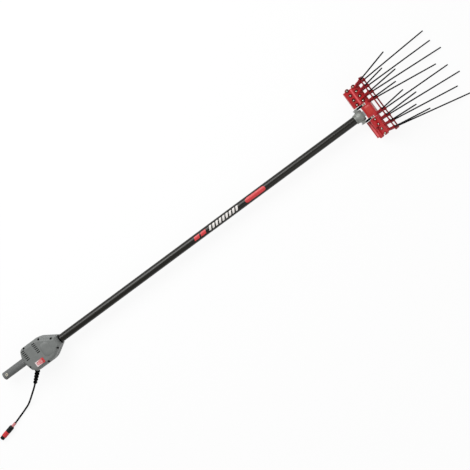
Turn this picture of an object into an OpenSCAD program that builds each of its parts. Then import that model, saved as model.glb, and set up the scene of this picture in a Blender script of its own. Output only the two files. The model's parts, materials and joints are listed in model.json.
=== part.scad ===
// Electric olive harvester: a motor housing with a rear handle, a long drive pole
// and a swinging double comb. X runs along the tool from handle to comb and Z is up.
// The origin is on the handle axis, in the middle of the handle's tube.

/* [Handle] */
// Outside diameter of the rear handle
grip_d = 34; // [30:1:40]
// Length of handle that stands out of the housing
grip_l = 116.5; // [85:0.5:150]
// Wall of the handle tube
grip_wall = 3; // [2:0.5:5]
// Length of the end cap behind the handle tube
cap_l = 26.5; // [16:0.5:28]
// Diameter of the lanyard hole through the end cap
lanyard_d = 5; // [3:0.5:7]

/* [Housing] */
// Width of the housing across the tool
body_w = 115; // [108:1:130]
// Length of the straight sided part of the housing
body_l = 104; // [96:1:140]
// Thickness of the housing, top to bottom
body_t = 106; // [96:1:120]
// Height of the straight band round the housing
band_h = 62; // [40:1:76]
// How far the crown is drawn in from the sides
crown_in = 14; // [8:1:15]
// Wall of both housing shells
wall = 3; // [2:0.5:4]
// Radius of the round rear corner
corner_r = 22; // [20:1:26]
// Length of the cut corner where the cable leaves
corner_cut = 25; // [24:1:34]
// How far the rear corner by the cable lies in front of the handle's root
rear_bow = 7; // [4:1:10]
// How far the housing's middle lies to the handle's side of the pole
body_shift = 5; // [0:0.5:6]
// Length of the nose in front of the rounded front
nose_l = 6.5; // [6:0.5:20]
// Wall of the nose round the pole
nose_wall = 3; // [3:0.5:6]
// Depth of the foot pad under the bottom shell
foot_h = 0.5; // [0.5:0.5:3]

/* [Pole] */
// Outside diameter of the pole
pole_d = 34; // [32:1:38]
// Wall of the pole
pole_wall = 1.5; // [1:0.1:2]
// Length of pole between housing and head
pole_free = 1507.5; // [900:0.5:2400]
// Number of bushes that carry the drive shaft in the pole
bush_n = 4; // [2:1:6]

/* [Motor and drive] */
// Diameter of the motor shaft
motor_shaft_d = 8; // [6:0.5:9]
// Module of both gears
gear_module = 0.75; // [0.7:0.05:0.8]
// Width of both gears
gear_w = 9; // [6:0.5:10]
// Outside diameter of the drive shaft
shaft_d = 10; // [8:0.5:10]
// Blades on the cooling fan
fan_blades = 9; // [5:1:13]

/* [Switch] */
// Length of the switch bezel along the tool
switch_l = 40; // [36:1:46]
// Width of the switch bezel
switch_w = 21; // [18:0.5:24]
// Tilt of the rocker to either side
rocker_tilt = 8; // [4:1:9]

/* [Cable and plug] */
// Diameter of the power cable
cable_d = 7.5; // [6:0.5:9]
// Length of the ribbed strain relief
relief_l = 67; // [40:1:70]
// Largest diameter of the strain relief
relief_d = 23; // [16:0.5:24]
// Bulges on the strain relief
relief_n = 5; // [3:1:8]
// Largest diameter of the plug
plug_d = 21.5; // [18:0.5:24]

/* [Gear head] */
// Largest radius of the round gear head
dome_r = 25; // [24.5:0.5:28]
// Length of the gear head in front of the pole
dome_l = 40; // [38:1:41]
// Distance from the end of the pole to the swing axis
pivot_out = 58; // [57:0.5:60]
// Diameter of the cross shaft that carries the comb
cross_d = 12; // [10:0.5:13]
// Distance from the swing axis back to the crank roller
lever = 30; // [29:0.5:31]
// Swing of the comb to either side
swing = 12; // [6:1:12]

/* [Comb] */
// Upward lean of the comb from the pole
lean = 20; // [12:1:24]
// Half of the angle between the two rows of tines
spread = 28; // [24:1:32]
// Distance from the middle to the first tine
first_tine = 31; // [30:0.5:32]
// Distance from one tine to the next
tine_pitch = 25.5; // [25:0.5:27]
// Diameter of the tines
tine_d = 5; // [3:0.5:6]
// Fan angle of the innermost tines, inwards below zero
fan_in = -2.8; // [-4:0.1:0]
// Growth of the fan angle from tine to tine
fan_step = 3.5; // [2:0.1:4]
// Sideways set of each whole row
row_set = 2.7; // [0:0.1:4]
// Turn of all tines towards the cable's side
tine_yaw = 1.6; // [0:0.1:3]
// Thickness of the half comb plates
plate_t = 14; // [13:0.5:18]
// Length of the half comb plates behind the tine line
plate_back = 48; // [44:1:54]
// Length of the half comb plates in front of the tine line
plate_front = 24; // [20:1:30]
// Outside diameter of the tine sleeves
sleeve_d = 10.4; // [9:0.2:12]
// Distance along a tine from its root line to the ring
ring_out = 56; // [50:1:64]
// Thickness of the guide ring
ring_d = 6; // [5:0.5:8]
// Reach of the lower tines from their root line, left to right
lower_reach = [370, 370, 390, 335, 370, 395, 355, 390]; // [300:5:395]
// Reach of the upper tines from their root line, left to right
upper_reach = [240, 185, 235, 200, 205, 250, 215, 260]; // [150:5:395]

/* [Hidden] */
$fn = 48;
// Gap between parts that touch or are pressed together
fit = 0.05;
// Radial clearance of a running shaft
run = 0.03;
// Room between parts that move past each other
room = 0.3;
// Overlap that makes a cut run clean through
cut = 1;

// Counts that the gear train and the comb are laid out for
pinion_teeth = 12;
gear_teeth = 20;
side_tines = 4;

// Axes and stations along the tool
axis_gap = gear_module * (pinion_teeth + gear_teeth) / 2;
grip_r = grip_d / 2;
grip_stop = 2;
rear_x = (grip_l - cap_l + grip_stop) / 2;
back_x = rear_x - grip_l;
half_w = body_w / 2;
half_t = body_t / 2;
round_x = rear_x + body_l;
nose_x = round_x + half_w + nose_l;
floor_z = -half_t - foot_h;
pole_r = pole_d / 2;
pole_ir = pole_r - pole_wall;
pole_end = nose_x + pole_free;
pivot_x = pole_end + pivot_out;
grip_in = 18;
grip_tenon_r = grip_r - 0.5;
cap_ease = 0.2;
lanyard_x = back_x + cap_l - 8;

// Housing screws stand this far inside the edge, each in its own boss
screw_edge = 6;
screw_boss_r = 6;
side_y = half_w + body_shift - screw_edge;

// Motor and gear train stations: the motor fills the housing between its side screws
motor_rear = 40;
motor_front = 2;
motor_share = 0.5565;
motor_r = motor_share * half_w;
motor_l = body_l - motor_rear - motor_front;
can_wall = 0.08 * motor_r;
end_plate_t = 4;
motor_x = rear_x + motor_rear;
motor_end = motor_x + motor_l;
gear_gap = 2.5;
gear_x = motor_end + end_plate_t + gear_gap;
gear_plate_t = 8;
gear_plate_x = gear_x + gear_w + gear_gap;
pole_x = gear_plate_x + gear_plate_t;
motor_shaft_r = motor_shaft_d / 2;
motor_bearing_r = motor_shaft_r + 5;
motor_bearing_w = end_plate_t;
pinion_bore_r = 2.5;
magnet_t = 0.155 * motor_r;
magnet_span = 120;
air_gap = 1;
rotor_r = motor_r - can_wall - fit - magnet_t - air_gap;
rotor_l = 0.55 * motor_l;
rotor_x = motor_end - 0.1 * motor_l - rotor_l;
rotor_slots = 10;
slot_w = motor_r / 8;
slot_deep = 0.22 * motor_r;
commutator_r = 0.31 * motor_r;
commutator_l = 0.2 * motor_l;
commutator_x = motor_x + 0.08 * motor_l;
brush = [8, 8];
fan_r = motor_r - 4;
fan_hub_r = motor_shaft_r + 5;
fan_t = 2;
fan_l = 11;
fan_x = motor_x - end_plate_t - 3 - fan_l;

// Drive shaft, crank and yoke
shaft_r = shaft_d / 2;
shaft_wall = 1.3;
bearing_r = shaft_r + 6;
bearing_w = 8;
bush_l = 12;
crank_gap = 12;
crank_t = 6;
crank_r = 12;
crank_throw = lever * tan(swing);
pin_r = 3;
roller_r = 4.5;
roller_x = pivot_x - lever;
slot_half = roller_r + 1.7;
prong_t = 3.8;
prong_back = lever + 4;
yoke_half = crank_throw + roller_r + 0.4;
yoke_r = cross_d / 2 + 4.5;

// Gear head
spigot_l = 28;
collar_l = 7;
collar_r = pole_r + 2.5;
dome_peak = 26;
dome_wall = 3.5;
dome_drop = dome_r - collar_r;
dome_arc = (pow(dome_peak - collar_l, 2) + dome_drop * dome_drop) / (2 * dome_drop);
dome_mid = dome_r - dome_arc;
ear_in = 27;
ear_t = 7;
ear_h = 26;
ear_x = pole_end + 16;
ear_bridge = 14;
ear_l = 28;
block_x = ear_x + ear_l;
block_over = 2;
pivot_bearing_r = cross_d / 2 + 4;
bolt_r = 1.75;
bolt_head_r = 3.2;
bolt_head_h = 3;
bolt_z = 7;
bolt_reach = 5;

// Comb
root_x = 12;
hub_half = ear_in - 1;
hub_back = 8;
hub_half_h = 13;
bar_from = 17;
bar_to = 36;
bar_half = first_tine + 5;
comb_in = max(ear_in + ear_t + 1, first_tine + sleeve_d / 2 + room);
boss_r = cross_d / 2 + 7;
boss_l = 38;
boss_proud = 0.8;
cross_l = 2 * (comb_in + boss_l);
tine_r = tine_d / 2;
tine_root = 14;
sleeve_root = -4;
bar_sleeve_root = 10;
sleeve_less = 0.6;
sleeve_end = ring_out - 4;
ring_boss_l = 8;
ring_boss_r = sleeve_d / 2 + 1.2;
ring_half = first_tine + (side_tines - 1) * tine_pitch + 17;
ring_x = root_x + ring_out * cos(spread);
ring_z = ring_out * sin(spread);
pocket_first = comb_in + 8.5;
pocket_pitch = tine_pitch - 2.8;
pocket_r = 6.2;
pocket_deep = 6;
nut_pocket_r = 4.8;
nut_pocket_deep = 4;
pocket_rows = [2, -29];
lobe_r = pocket_r + 2;
comb_screw_r = 2;
comb_head_r = 4;
comb_head_h = 3.5;
comb_nut_r = 3.8;
comb_nut_h = 3;

// Housing screws, as distance from the rear wall and distance from the pole axis
nose_screw = [body_l + half_w * 0.82, half_w * 0.41];
housing_screws_at = [
    [body_l * 0.3375, side_y],
    [body_l + 3, side_y - 5.5],
    nose_screw,
    [nose_screw[0], -nose_screw[1]],
    [body_l - 16, 2 * body_shift - side_y],
    [12, -21.5]
];
screw_r = 1.9;
screw_head_r = 3.6;
screw_head_h = 2.6;
screw_seat_z = 20;
screw_deep = 18;
screw_well_r = 4.6;
grip_screw_x = rear_x - 12;
rib_t = 4;
ribs_at = [12, motor_l - 12];

// Vents on the top shell, as distance from the rear wall and length along the tool
vents_at = [[17, 16, 7, 6], [body_l - 33, 15, 7, 6]];
vent_slot_w = 3.8;
vent_pitch = 8;
vent_deep = 6;

// Switch, on the cable side of the top shell
switch_x = rear_x + body_l - 45;
switch_y = -28.4;
bezel_h = 2.5;
bezel_deep = 12;
bezel_lip = 2;
bezel_floor = 1.5;
rocker_l = switch_l - 13;
rocker_w = switch_w - 8.6;
rocker_pin_r = 1.5;
rocker_pin_l = 2;
rocker_z = half_t - 3;

// Cable exit on the cut corner, strain relief and plug
exit_share = 0.6;
cut_leg = corner_cut - rear_bow;
exit_x = rear_x + rear_bow + cut_leg * exit_share;
exit_y = body_shift - half_w + cut_leg * (1 - exit_share);
exit_turn = 219;
exit_dip = 12;
neck_r = 7;
flange_r = 8.6;
flange_t = 4;
relief_tip_r = 8.5;
cable_r = cable_d / 2;
cable_sides = 10;
relief_tip = [
    exit_x + relief_l * cos(exit_dip) * cos(exit_turn),
    exit_y + relief_l * cos(exit_dip) * sin(exit_turn),
    -relief_l * sin(exit_dip)
];
cable_route = [
    [6, -92, -15.8],
    [-8, -102, -19.6],
    [-22.1, -111, -23.8],
    [-35, -119.3, -28.4],
    [-48.5, -127.6, -33.6],
    [-62.5, -135.6, -38.8],
    [-76.5, -142.3, -43.4],
    [-91.5, -147.5, -46.9],
    [-106.5, -152.4, -49],
    [-121.5, -157.2, -49.3],
    [-136.5, -162.1, -47.4],
    [-151, -166.9, -44.8]
];
boot_at = [-164.5, -170.9, -42.7];
plug_turn = 193;
boot_l = 19;
boot_r = 6;
plug_r = plug_d / 2;
plug_parts = [31, 25, 16];
plug_nose_r = plug_r - 1.2;
contact_r = 2;
contact_ring = 4.6;
contact_deep = 12;

// Colours
housing_grey = [0.44, 0.45, 0.44];
comb_red = [0.80, 0.08, 0.09];
dark_red = [0.55, 0.05, 0.07];
cast_grey = [0.66, 0.67, 0.66];
steel = [0.74, 0.75, 0.76];
black = [0.09, 0.09, 0.09];
pole_black = [0.13, 0.13, 0.12];
brass = [0.78, 0.62, 0.30];
copper = [0.72, 0.43, 0.27];
pale = [0.86, 0.84, 0.82];

// Frames that place the parts

module at_pole() {
    translate([0, -axis_gap, 0])
        children();
}

// Turns +Z of a part to +X, starting at x
module along_x(x) {
    translate([x, 0, 0])
        rotate([0, 90, 0])
            children();
}

// Turns +Z of a part to +Y, starting at y
module along_y(y) {
    translate([0, y, 0])
        rotate([-90, 0, 0])
            children();
}

// Comb frame: origin on the swing axis, X along the middle of the comb
module at_comb() {
    at_pole()
        translate([pivot_x, 0, 0])
            rotate([0, -lean, 0])
                children();
}

// Direction of one tine, +Z along it: side 1 is left, row 1 is the upper row.
// A half that is drawn turned over takes the common turn the other way round.
module at_tine(side, step, row, turn = 1) {
    fan = side * (fan_in + fan_step * step) + row * row_set - turn * tine_yaw;
    translate([root_x, side * (first_tine + tine_pitch * step), 0])
        rotate([0, -row * spread, 0])
            rotate([0, 0, fan])
                rotate([0, 90, 0])
                    children();
}

// Plate of a half comb: X along the lower tines, Y outwards, Z through the plate
module at_plate() {
    translate([root_x, 0, 0])
        rotate([0, spread, 0])
            children();
}

// Strain relief: +Z runs out of the housing
module at_exit() {
    at_pole()
        translate([exit_x, exit_y, 0])
            rotate([0, 0, exit_turn])
                rotate([0, exit_dip, 0])
                    rotate([0, 90, 0])
                        children();
}

// Plug: +Z runs from the cable to the nose
module at_plug(z) {
    at_pole()
        translate(boot_at)
            rotate([0, 0, plug_turn])
                along_x(z)
                    children();
}

// Basic shapes

module tube(outer, inner, h) {
    difference() {
        cylinder(r = outer, h = h);
        translate([0, 0, -cut])
            cylinder(r = inner, h = h + 2 * cut);
    }
}

function arc(centre, r, from, to, steps) = [
    for (i = [0:steps])
        let (a = from + (to - from) * i / steps)
            [centre[0] + r * cos(a), centre[1] + r * sin(a)]
];

// Spur gear outline: four straight flanks to a tooth
module gear_outline(teeth) {
    pitch_r = gear_module * teeth / 2;
    root_r = pitch_r - 1.2 * gear_module;
    tip_r = pitch_r + 0.8 * gear_module;
    turn = 360 / teeth;
    polygon([
        for (i = [0:teeth - 1], k = [0:3])
            let (
                r = (k == 0 || k == 3) ? root_r : tip_r,
                share = [-0.30, -0.09, 0.09, 0.30][k],
                a = (i + share) * turn
            )
                [r * cos(a), r * sin(a)]
    ]);
}

// Tube along a route: one ring of points at each route point, square to the route
function unit(v) = v / norm(v);
function heading(p, i) = unit(p[min(i + 1, len(p) - 1)] - p[max(i - 1, 0)]);
function side_of(d) = unit(cross([0, 0, 1], d));
function ring_point(p, d, r, a) = p + r * (cos(a) * side_of(d) + sin(a) * cross(d, side_of(d)));

module route_tube(route, r, sides, first, last) {
    n = len(route);
    points = [
        for (i = [0:n - 1], k = [0:sides - 1])
            let (d = i == 0 ? first : i == n - 1 ? last : heading(route, i))
                ring_point(route[i], d, r, 360 * k / sides)
    ];
    walls = [
        for (i = [0:n - 2], k = [0:sides - 1], half = [0, 1])
            let (
                a = i * sides + k,
                b = i * sides + (k + 1) % sides
            )
                half == 0 ? [a, a + sides, b] : [b, a + sides, b + sides]
    ];
    end = (n - 1) * sides;
    ends = concat(
        [for (k = [1:sides - 2]) [0, k, k + 1]],
        [for (k = [1:sides - 2]) [end, end + k + 1, end + k]]
    );
    polyhedron(points, concat(walls, ends));
}

// Handle

module handle_grip() {
    tube_x = back_x + cap_l;
    full_l = rear_x - grip_stop - tube_x;
    color(housing_grey)
        difference() {
            union() {
                along_x(tube_x)
                    cylinder(r = grip_r, h = full_l);
                along_x(tube_x + full_l - cut)
                    cylinder(r = grip_tenon_r, h = grip_in + grip_stop + cut);
            }
            along_x(tube_x - cut)
                cylinder(r = grip_r - grip_wall, h = grip_l + grip_in);
            grip_screw(fit);
        }
}

module handle_cap() {
    spigot = 12;
    rim = 4;
    cap_r = grip_r - cap_ease;
    color(housing_grey)
        difference() {
            union() {
                along_x(back_x)
                    rotate_extrude()
                        polygon(concat(
                            [[0, cap_l], [0, 0]],
                            arc([cap_r - rim, rim], rim, -90, 0, 6),
                            [[cap_r, cap_l]]
                        ));
                along_x(back_x + cap_l)
                    cylinder(r = grip_r - grip_wall - fit, h = spigot);
            }
            translate([lanyard_x, 0, -grip_r - cut])
                cylinder(d = lanyard_d, h = 2 * (grip_r + cut));
        }
}

// Screw from above that pins the end of the handle tube; its head stays below the surface
module grip_screw(gap) {
    seat = grip_r - 2;
    head = gap > 0 ? 2 * screw_head_h : 1.6;
    shank = 5;
    translate([grip_screw_x, 0, seat]) {
        cylinder(r = screw_head_r + gap, h = head);
        translate([0, 0, -shank])
            cylinder(r = screw_r + gap, h = shank);
    }
}

// Housing

// Outline from above: bowed rear, one cut corner, and a front that tapers to the nose
module housing_plan(inset) {
    right = half_w - body_shift - inset;
    left = half_w + body_shift - inset;
    rear = rear_x + inset;
    ease = inset * (sqrt(2) - 1);
    tip_x = nose_x - inset;
    tip_y = pole_r + nose_wall - inset / 2;
    polygon(concat(
        [
            [rear, axis_gap - grip_r],
            [rear + rear_bow, body_shift - half_w + cut_leg + ease],
            [rear_x + corner_cut + ease, -right]
        ],
        arc([round_x - body_shift, 0], right, -90, -57, 10),
        [[tip_x, -tip_y], [tip_x, tip_y]],
        arc([round_x - 4 * body_shift, 0], left, 52, 90, 12),
        arc([rear_x + rear_bow + corner_r, half_w + body_shift - corner_r], corner_r - inset, 90, 165, 8),
        [[rear, axis_gap + grip_r]]
    ));
}

// One shell form: a straight band with a rounded crown on both sides
module housing_form(inset) {
    rise = half_t - band_h / 2;
    steps = 4;
    hull()
        for (i = [0:steps]) {
            a = 90 * i / steps;
            top = band_h / 2 + rise * sin(a) - inset * i / steps;
            translate([0, 0, -top])
                linear_extrude(2 * top)
                    housing_plan(inset + crown_in * (1 - cos(a)));
        }
}

module half_space(up) {
    size = 3 * (body_l + body_w);
    translate([rear_x + body_l / 2 - size / 2, -size / 2, up ? 0 : -size])
        cube(size);
}

module screw_places() {
    for (s = housing_screws_at)
        translate([rear_x + s[0], s[1], 0])
            children();
}

// Everything that stands inside both shells: bosses, motor ribs and clamp collars
module housing_inside() {
    difference() {
        union() {
            screw_places()
                cylinder(r = screw_boss_r, h = body_t, center = true);
            for (x = ribs_at)
                translate([motor_x + x - rib_t / 2, -body_w, -half_t])
                    cube([rib_t, 2 * body_w, body_t]);
            translate([0, axis_gap, 0])
                along_x(rear_x)
                    cylinder(r = grip_r + nose_wall, h = grip_in);
            for (x = [pole_x, rear_x + nose_screw[0] - rib_t / 2])
                translate([x, -body_w, -half_t])
                    cube([rib_t, 2 * body_w, body_t]);
        }
        translate([0, axis_gap, 0])
            along_x(motor_x)
                cylinder(r = motor_r + 0.2, h = motor_l);
    }
}

module housing_half(up) {
    at_pole()
        difference() {
            union() {
                intersection() {
                    difference() {
                        housing_form(0);
                        housing_form(wall);
                    }
                    half_space(up);
                }
                intersection() {
                    housing_inside();
                    housing_form(0);
                    half_space(up);
                }
                intersection() {
                    along_x(round_x + half_w - grip_in)
                        cylinder(r = pole_r + nose_wall, h = grip_in + nose_l);
                    half_space(up);
                }
            }
            along_x(pole_x)
                cylinder(r = pole_r + fit, h = nose_x);
            translate([0, axis_gap, 0])
                along_x(rear_x - cut)
                    cylinder(r = grip_tenon_r + fit, h = grip_in + 2 * cut);
            screw_places()
                cylinder(r = screw_r + fit, h = 2 * screw_deep, center = true);
        }
}

module housing_top() {
    color(housing_grey)
        difference() {
            housing_half(true);
            at_pole()
                screw_places() {
                    cylinder(r = screw_r + fit, h = screw_seat_z + cut);
                    translate([0, 0, screw_seat_z])
                        cylinder(r = screw_well_r, h = half_t);
                }
            relief_hole();
            vent_slots();
            switch_window();
        }
}

module housing_bottom() {
    foot_from = 24;
    foot_l = body_l - foot_from;
    foot_w = body_w - 2 * crown_in - 22;
    color(housing_grey)
        difference() {
            union() {
                housing_half(false);
                at_pole()
                    translate([rear_x + foot_from, body_shift - foot_w / 2, floor_z])
                        cube([foot_l, foot_w, foot_h + wall]);
            }
            relief_hole();
        }
}

module relief_hole() {
    at_exit()
        translate([0, 0, -flange_t - 8])
            cylinder(r = neck_r + fit, h = flange_t + 20);
}

module vent_slots() {
    at_pole()
        for (v = vents_at, i = [0:v[3] - 1])
            translate([rear_x + v[0], v[2] + i * vent_pitch, half_t - wall - vent_deep])
                cube([v[1], vent_slot_w, wall + vent_deep + cut]);
}

module switch_window() {
    at_pole()
        translate([switch_x, switch_y, half_t])
            cube([switch_l - 2 * bezel_lip, switch_w - 2 * bezel_lip, 2 * (bezel_deep + room)], center = true);
}

module housing_screws() {
    color(steel) {
        at_pole()
            screw_places() {
                translate([0, 0, -screw_deep + cut])
                    cylinder(r = screw_r, h = screw_deep - cut + screw_seat_z);
                translate([0, 0, screw_seat_z])
                    cylinder(r = screw_head_r, h = screw_head_h);
            }
        grip_screw(0);
    }
}

// Motor, fixed parts

module motor_can() {
    color(steel)
        along_x(motor_x)
            tube(motor_r, motor_r - can_wall, motor_l);
}

module motor_magnets() {
    outer = motor_r - can_wall - fit;
    color(black)
        along_x(rotor_x)
            for (start = [-magnet_span / 2, 180 - magnet_span / 2])
                rotate([0, 0, start])
                    rotate_extrude(angle = magnet_span)
                        translate([outer - magnet_t, 0])
                            square([magnet_t, rotor_l]);
}

// End plate with a bearing seat and a rim that fits the can
module end_plate(x, rim_x) {
    rim_l = 3;
    difference() {
        union() {
            along_x(x)
                cylinder(r = motor_r, h = end_plate_t);
            along_x(rim_x)
                cylinder(r = motor_r - can_wall - fit, h = rim_l);
        }
        along_x(min(x, rim_x) - cut)
            cylinder(r = motor_bearing_r + fit, h = end_plate_t + rim_l + 2 * cut);
    }
}

module motor_rear_plate() {
    color(cast_grey)
        end_plate(motor_x - end_plate_t, motor_x);
}

module motor_front_plate() {
    color(cast_grey)
        end_plate(motor_end, motor_end - 3);
}

module motor_brushes() {
    color(copper)
        for (side = [-1, 1])
            translate([
                commutator_x + commutator_l / 2 - brush[0] / 2,
                -brush[1] / 2,
                side > 0 ? commutator_r + room : -commutator_r - room - brush_l()
            ])
                cube([brush[0], brush[1], brush_l()]);
}

// A brush and its holder reach from the commutator to the can
function brush_l() = sqrt(pow(motor_r - can_wall, 2) - pow(brush[1] / 2, 2)) - commutator_r - 2 * room;

module motor_bearings() {
    color(steel)
        for (x = [motor_x - end_plate_t, motor_end])
            along_x(x)
                tube(motor_bearing_r, motor_shaft_r + run, motor_bearing_w);
}

// Motor, turning parts

module motor_shaft() {
    step_x = gear_x - gear_gap / 2;
    color(steel) {
        along_x(fan_x)
            cylinder(r = motor_shaft_r, h = step_x - fan_x);
        along_x(step_x - cut)
            cylinder(r = pinion_bore_r, h = gear_x + gear_w - step_x + cut);
    }
}

module rotor_core() {
    color([0.50, 0.50, 0.52])
        along_x(rotor_x)
            difference() {
                tube(rotor_r, motor_shaft_r + fit, rotor_l);
                for (i = [0:rotor_slots - 1])
                    rotate([0, 0, i * 360 / rotor_slots])
                        translate([rotor_r - slot_deep, -slot_w / 2, -cut])
                            cube([slot_deep + cut, slot_w, rotor_l + 2 * cut]);
            }
}

module commutator() {
    color(copper)
        along_x(commutator_x)
            tube(commutator_r, motor_shaft_r + fit, commutator_l);
}

module motor_pinion() {
    color(steel)
        along_x(gear_x)
            linear_extrude(gear_w)
                difference() {
                    rotate([0, 0, 90 + 180 / pinion_teeth])
                        gear_outline(pinion_teeth);
                    circle(r = pinion_bore_r + fit);
                }
}

module cooling_fan() {
    color(black)
        along_x(fan_x) {
            difference() {
                union() {
                    cylinder(r = fan_hub_r, h = fan_l);
                    translate([0, 0, fan_l - fan_t])
                        cylinder(r = fan_r, h = fan_t);
                    for (i = [0:fan_blades - 1])
                        rotate([0, 0, i * 360 / fan_blades])
                            translate([fan_hub_r - cut, -fan_t / 2, 0])
                                cube([fan_r - fan_hub_r, fan_t, fan_l - cut]);
                }
                translate([0, 0, -cut])
                    cylinder(r = motor_shaft_r + fit, h = fan_l + 2 * cut);
            }
        }
}

// Gear train and drive shaft

module gear_plate() {
    post_r = 4;
    post_out = motor_r - 6;
    plate_w = body_w - 39;
    plate_h = 2 * (motor_r + post_r);
    color(cast_grey)
        difference() {
            union() {
                at_pole()
                    translate([gear_plate_x, -plate_w / 2, -plate_h / 2])
                        cube([gear_plate_t, plate_w, plate_h]);
                for (side = [-1, 1])
                    translate([0, 0, side * post_out])
                        along_x(motor_end + end_plate_t)
                            cylinder(r = post_r, h = gear_plate_x - motor_end - end_plate_t);
            }
            at_pole()
                along_x(gear_plate_x - cut)
                    cylinder(r = bearing_r + fit, h = gear_plate_t + 2 * cut);
        }
}

module shaft_bearings() {
    color(steel)
        at_pole()
            for (x = [gear_plate_x, pole_end - bearing_w])
                along_x(x)
                    tube(bearing_r, shaft_r + run, bearing_w);
}

module drive_gear() {
    color(steel)
        at_pole()
            along_x(gear_x)
                linear_extrude(gear_w)
                    difference() {
                        rotate([0, 0, 90])
                            gear_outline(gear_teeth);
                        circle(r = shaft_r + fit);
                    }
}

module drive_shaft() {
    color(steel)
        at_pole()
            along_x(gear_x)
                tube(shaft_r, shaft_r - shaft_wall, pole_end + crank_gap + crank_t / 2 - gear_x);
}

module shaft_bushes() {
    span = pole_end - spigot_l - pole_x;
    color(pale)
        at_pole()
            for (i = [1:bush_n])
                along_x(pole_x + span * i / (bush_n + 1) - bush_l / 2)
                    tube(pole_ir - fit, shaft_r + run, bush_l);
}

module crank() {
    x = pole_end + crank_gap;
    color(steel)
        at_pole()
            difference() {
                union() {
                    along_x(x)
                        cylinder(r = crank_r, h = crank_t);
                    translate([0, -crank_throw, 0])
                        along_x(x + crank_t - cut)
                            cylinder(r = pin_r, h = roller_x + roller_r - x - crank_t + cut);
                }
                along_x(x - cut)
                    cylinder(r = shaft_r + fit, h = crank_t / 2 + cut);
            }
}

// Barrel shaped roller on the crank pin
module crank_roller() {
    flat = acos((pin_r + 1) / roller_r);
    color(steel)
        at_pole()
            translate([roller_x, -crank_throw, 0])
                along_x(0)
                    rotate_extrude()
                        polygon(concat(
                            arc([0, 0], roller_r, -flat, flat, 12),
                            [
                                [pin_r + fit, roller_r * sin(flat)],
                                [pin_r + fit, -roller_r * sin(flat)]
                            ]
                        ));
}

// Pole

module pole() {
    color(pole_black)
        at_pole()
            along_x(pole_x)
                tube(pole_r, pole_ir, pole_end - pole_x);
}

// Gear head

// Round casting of revolution about the pole axis
module dome_form(inset, from) {
    rim = asin((dome_l - dome_peak) / (dome_arc - inset));
    back = asin((dome_peak - from) / (dome_arc - inset));
    rotate_extrude()
        polygon(concat(
            [[0, from]],
            [
                for (i = [0:14])
                    let (a = -back + (rim + back) * i / 14)
                        [dome_mid + (dome_arc - inset) * cos(a), dome_peak + (dome_arc - inset) * sin(a)]
            ],
            [[0, dome_l]]
        ));
}

module head_bracket() {
    cavity_x = crank_gap - room - 0.7;
    color(cast_grey)
        at_pole()
            difference() {
                union() {
                    along_x(pole_end - spigot_l)
                        cylinder(r = pole_ir - fit, h = spigot_l + cut);
                    along_x(pole_end)
                        cylinder(r = collar_r, h = collar_l);
                    along_x(pole_end)
                        dome_form(0, collar_l);
                    for (side = [-1, 1]) {
                        translate([ear_x, side > 0 ? 0 : -ear_in - ear_t, -ear_h / 2])
                            cube([ear_bridge, ear_in + ear_t, ear_h]);
                        translate([ear_x, side > 0 ? ear_in : -ear_in - ear_t, -ear_h / 2])
                            cube([ear_l, ear_t, ear_h]);
                    }
                }
                along_x(pole_end)
                    dome_form(dome_wall, cavity_x);
                along_x(pole_end + dome_l - cut)
                    cylinder(r = dome_mid + sqrt(pow(dome_arc - dome_wall, 2) - pow(dome_l - dome_peak, 2)),
                             h = dome_l);
                along_x(pole_end - bearing_w)
                    cylinder(r = bearing_r + fit, h = bearing_w + cut);
                along_x(pole_end - spigot_l - cut)
                    cylinder(r = shaft_r + 2, h = spigot_l + dome_l);
                head_bolt_places()
                    cylinder(r = bolt_r + fit, h = ear_l + 2 * cut);
            }
}

module head_bolt_places() {
    for (side = [-1, 1], up = [-1, 1])
        translate([0, side * (ear_in + ear_t / 2), up * bolt_z])
            along_x(ear_x - cut)
                children();
}

module bearing_blocks() {
    color(black)
        at_pole()
            difference() {
                for (side = [-1, 1])
                    translate([block_x, side > 0 ? ear_in : -ear_in - ear_t, -ear_h / 2])
                        cube([pivot_x + block_over - block_x, ear_t, ear_h]);
                translate([pivot_x, 0, 0])
                    along_y(-ear_in - ear_t - cut)
                        cylinder(r = pivot_bearing_r + fit, h = 2 * (ear_in + ear_t + cut));
                head_bolt_places()
                    cylinder(r = bolt_r + fit, h = ear_l + bolt_reach + 2 * cut);
            }
}

module head_bolts() {
    color(steel)
        at_pole()
            head_bolt_places()
                union() {
                    translate([0, 0, cut - bolt_head_h])
                        cylinder(r = bolt_head_r, h = bolt_head_h);
                    cylinder(r = bolt_r, h = ear_l + bolt_reach + cut);
                }
}

module pivot_bearings() {
    color(steel)
        at_pole()
            translate([pivot_x, 0, 0])
                for (y = [ear_in, -ear_in - ear_t])
                    along_y(y)
                        tube(pivot_bearing_r, cross_d / 2 + run, ear_t);
}

// Comb

module cross_shaft() {
    color(steel)
        at_comb()
            along_y(-cross_l / 2)
                cylinder(d = cross_d, h = cross_l);
}

module cross_bore() {
    along_y(-cross_l)
        cylinder(r = cross_d / 2 + fit, h = 2 * cross_l);
}

module rocker_fork() {
    color(steel)
        at_pole()
            translate([pivot_x, 0, 0])
                difference() {
                    union() {
                        along_y(-yoke_half)
                            cylinder(r = yoke_r, h = 2 * yoke_half);
                        translate([-prong_back, -yoke_half, -slot_half - prong_t])
                            cube([prong_back, 2 * yoke_half, 2 * (slot_half + prong_t)]);
                    }
                    translate([-prong_back - cut, -yoke_half - cut, -slot_half])
                        cube([prong_back + cut - yoke_r, 2 * (yoke_half + cut), 2 * slot_half]);
                    cross_bore();
                }
}

// Room in the hub for the fork, which stays in line with the pole
module fork_pocket() {
    rotate([0, lean, 0]) {
        along_y(-yoke_half - fit)
            cylinder(r = yoke_r + fit, h = 2 * (yoke_half + fit));
        translate([-prong_back, -yoke_half - fit, -slot_half - prong_t - fit])
            cube([prong_back, 2 * (yoke_half + fit), 2 * (slot_half + prong_t + fit)]);
    }
}

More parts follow.
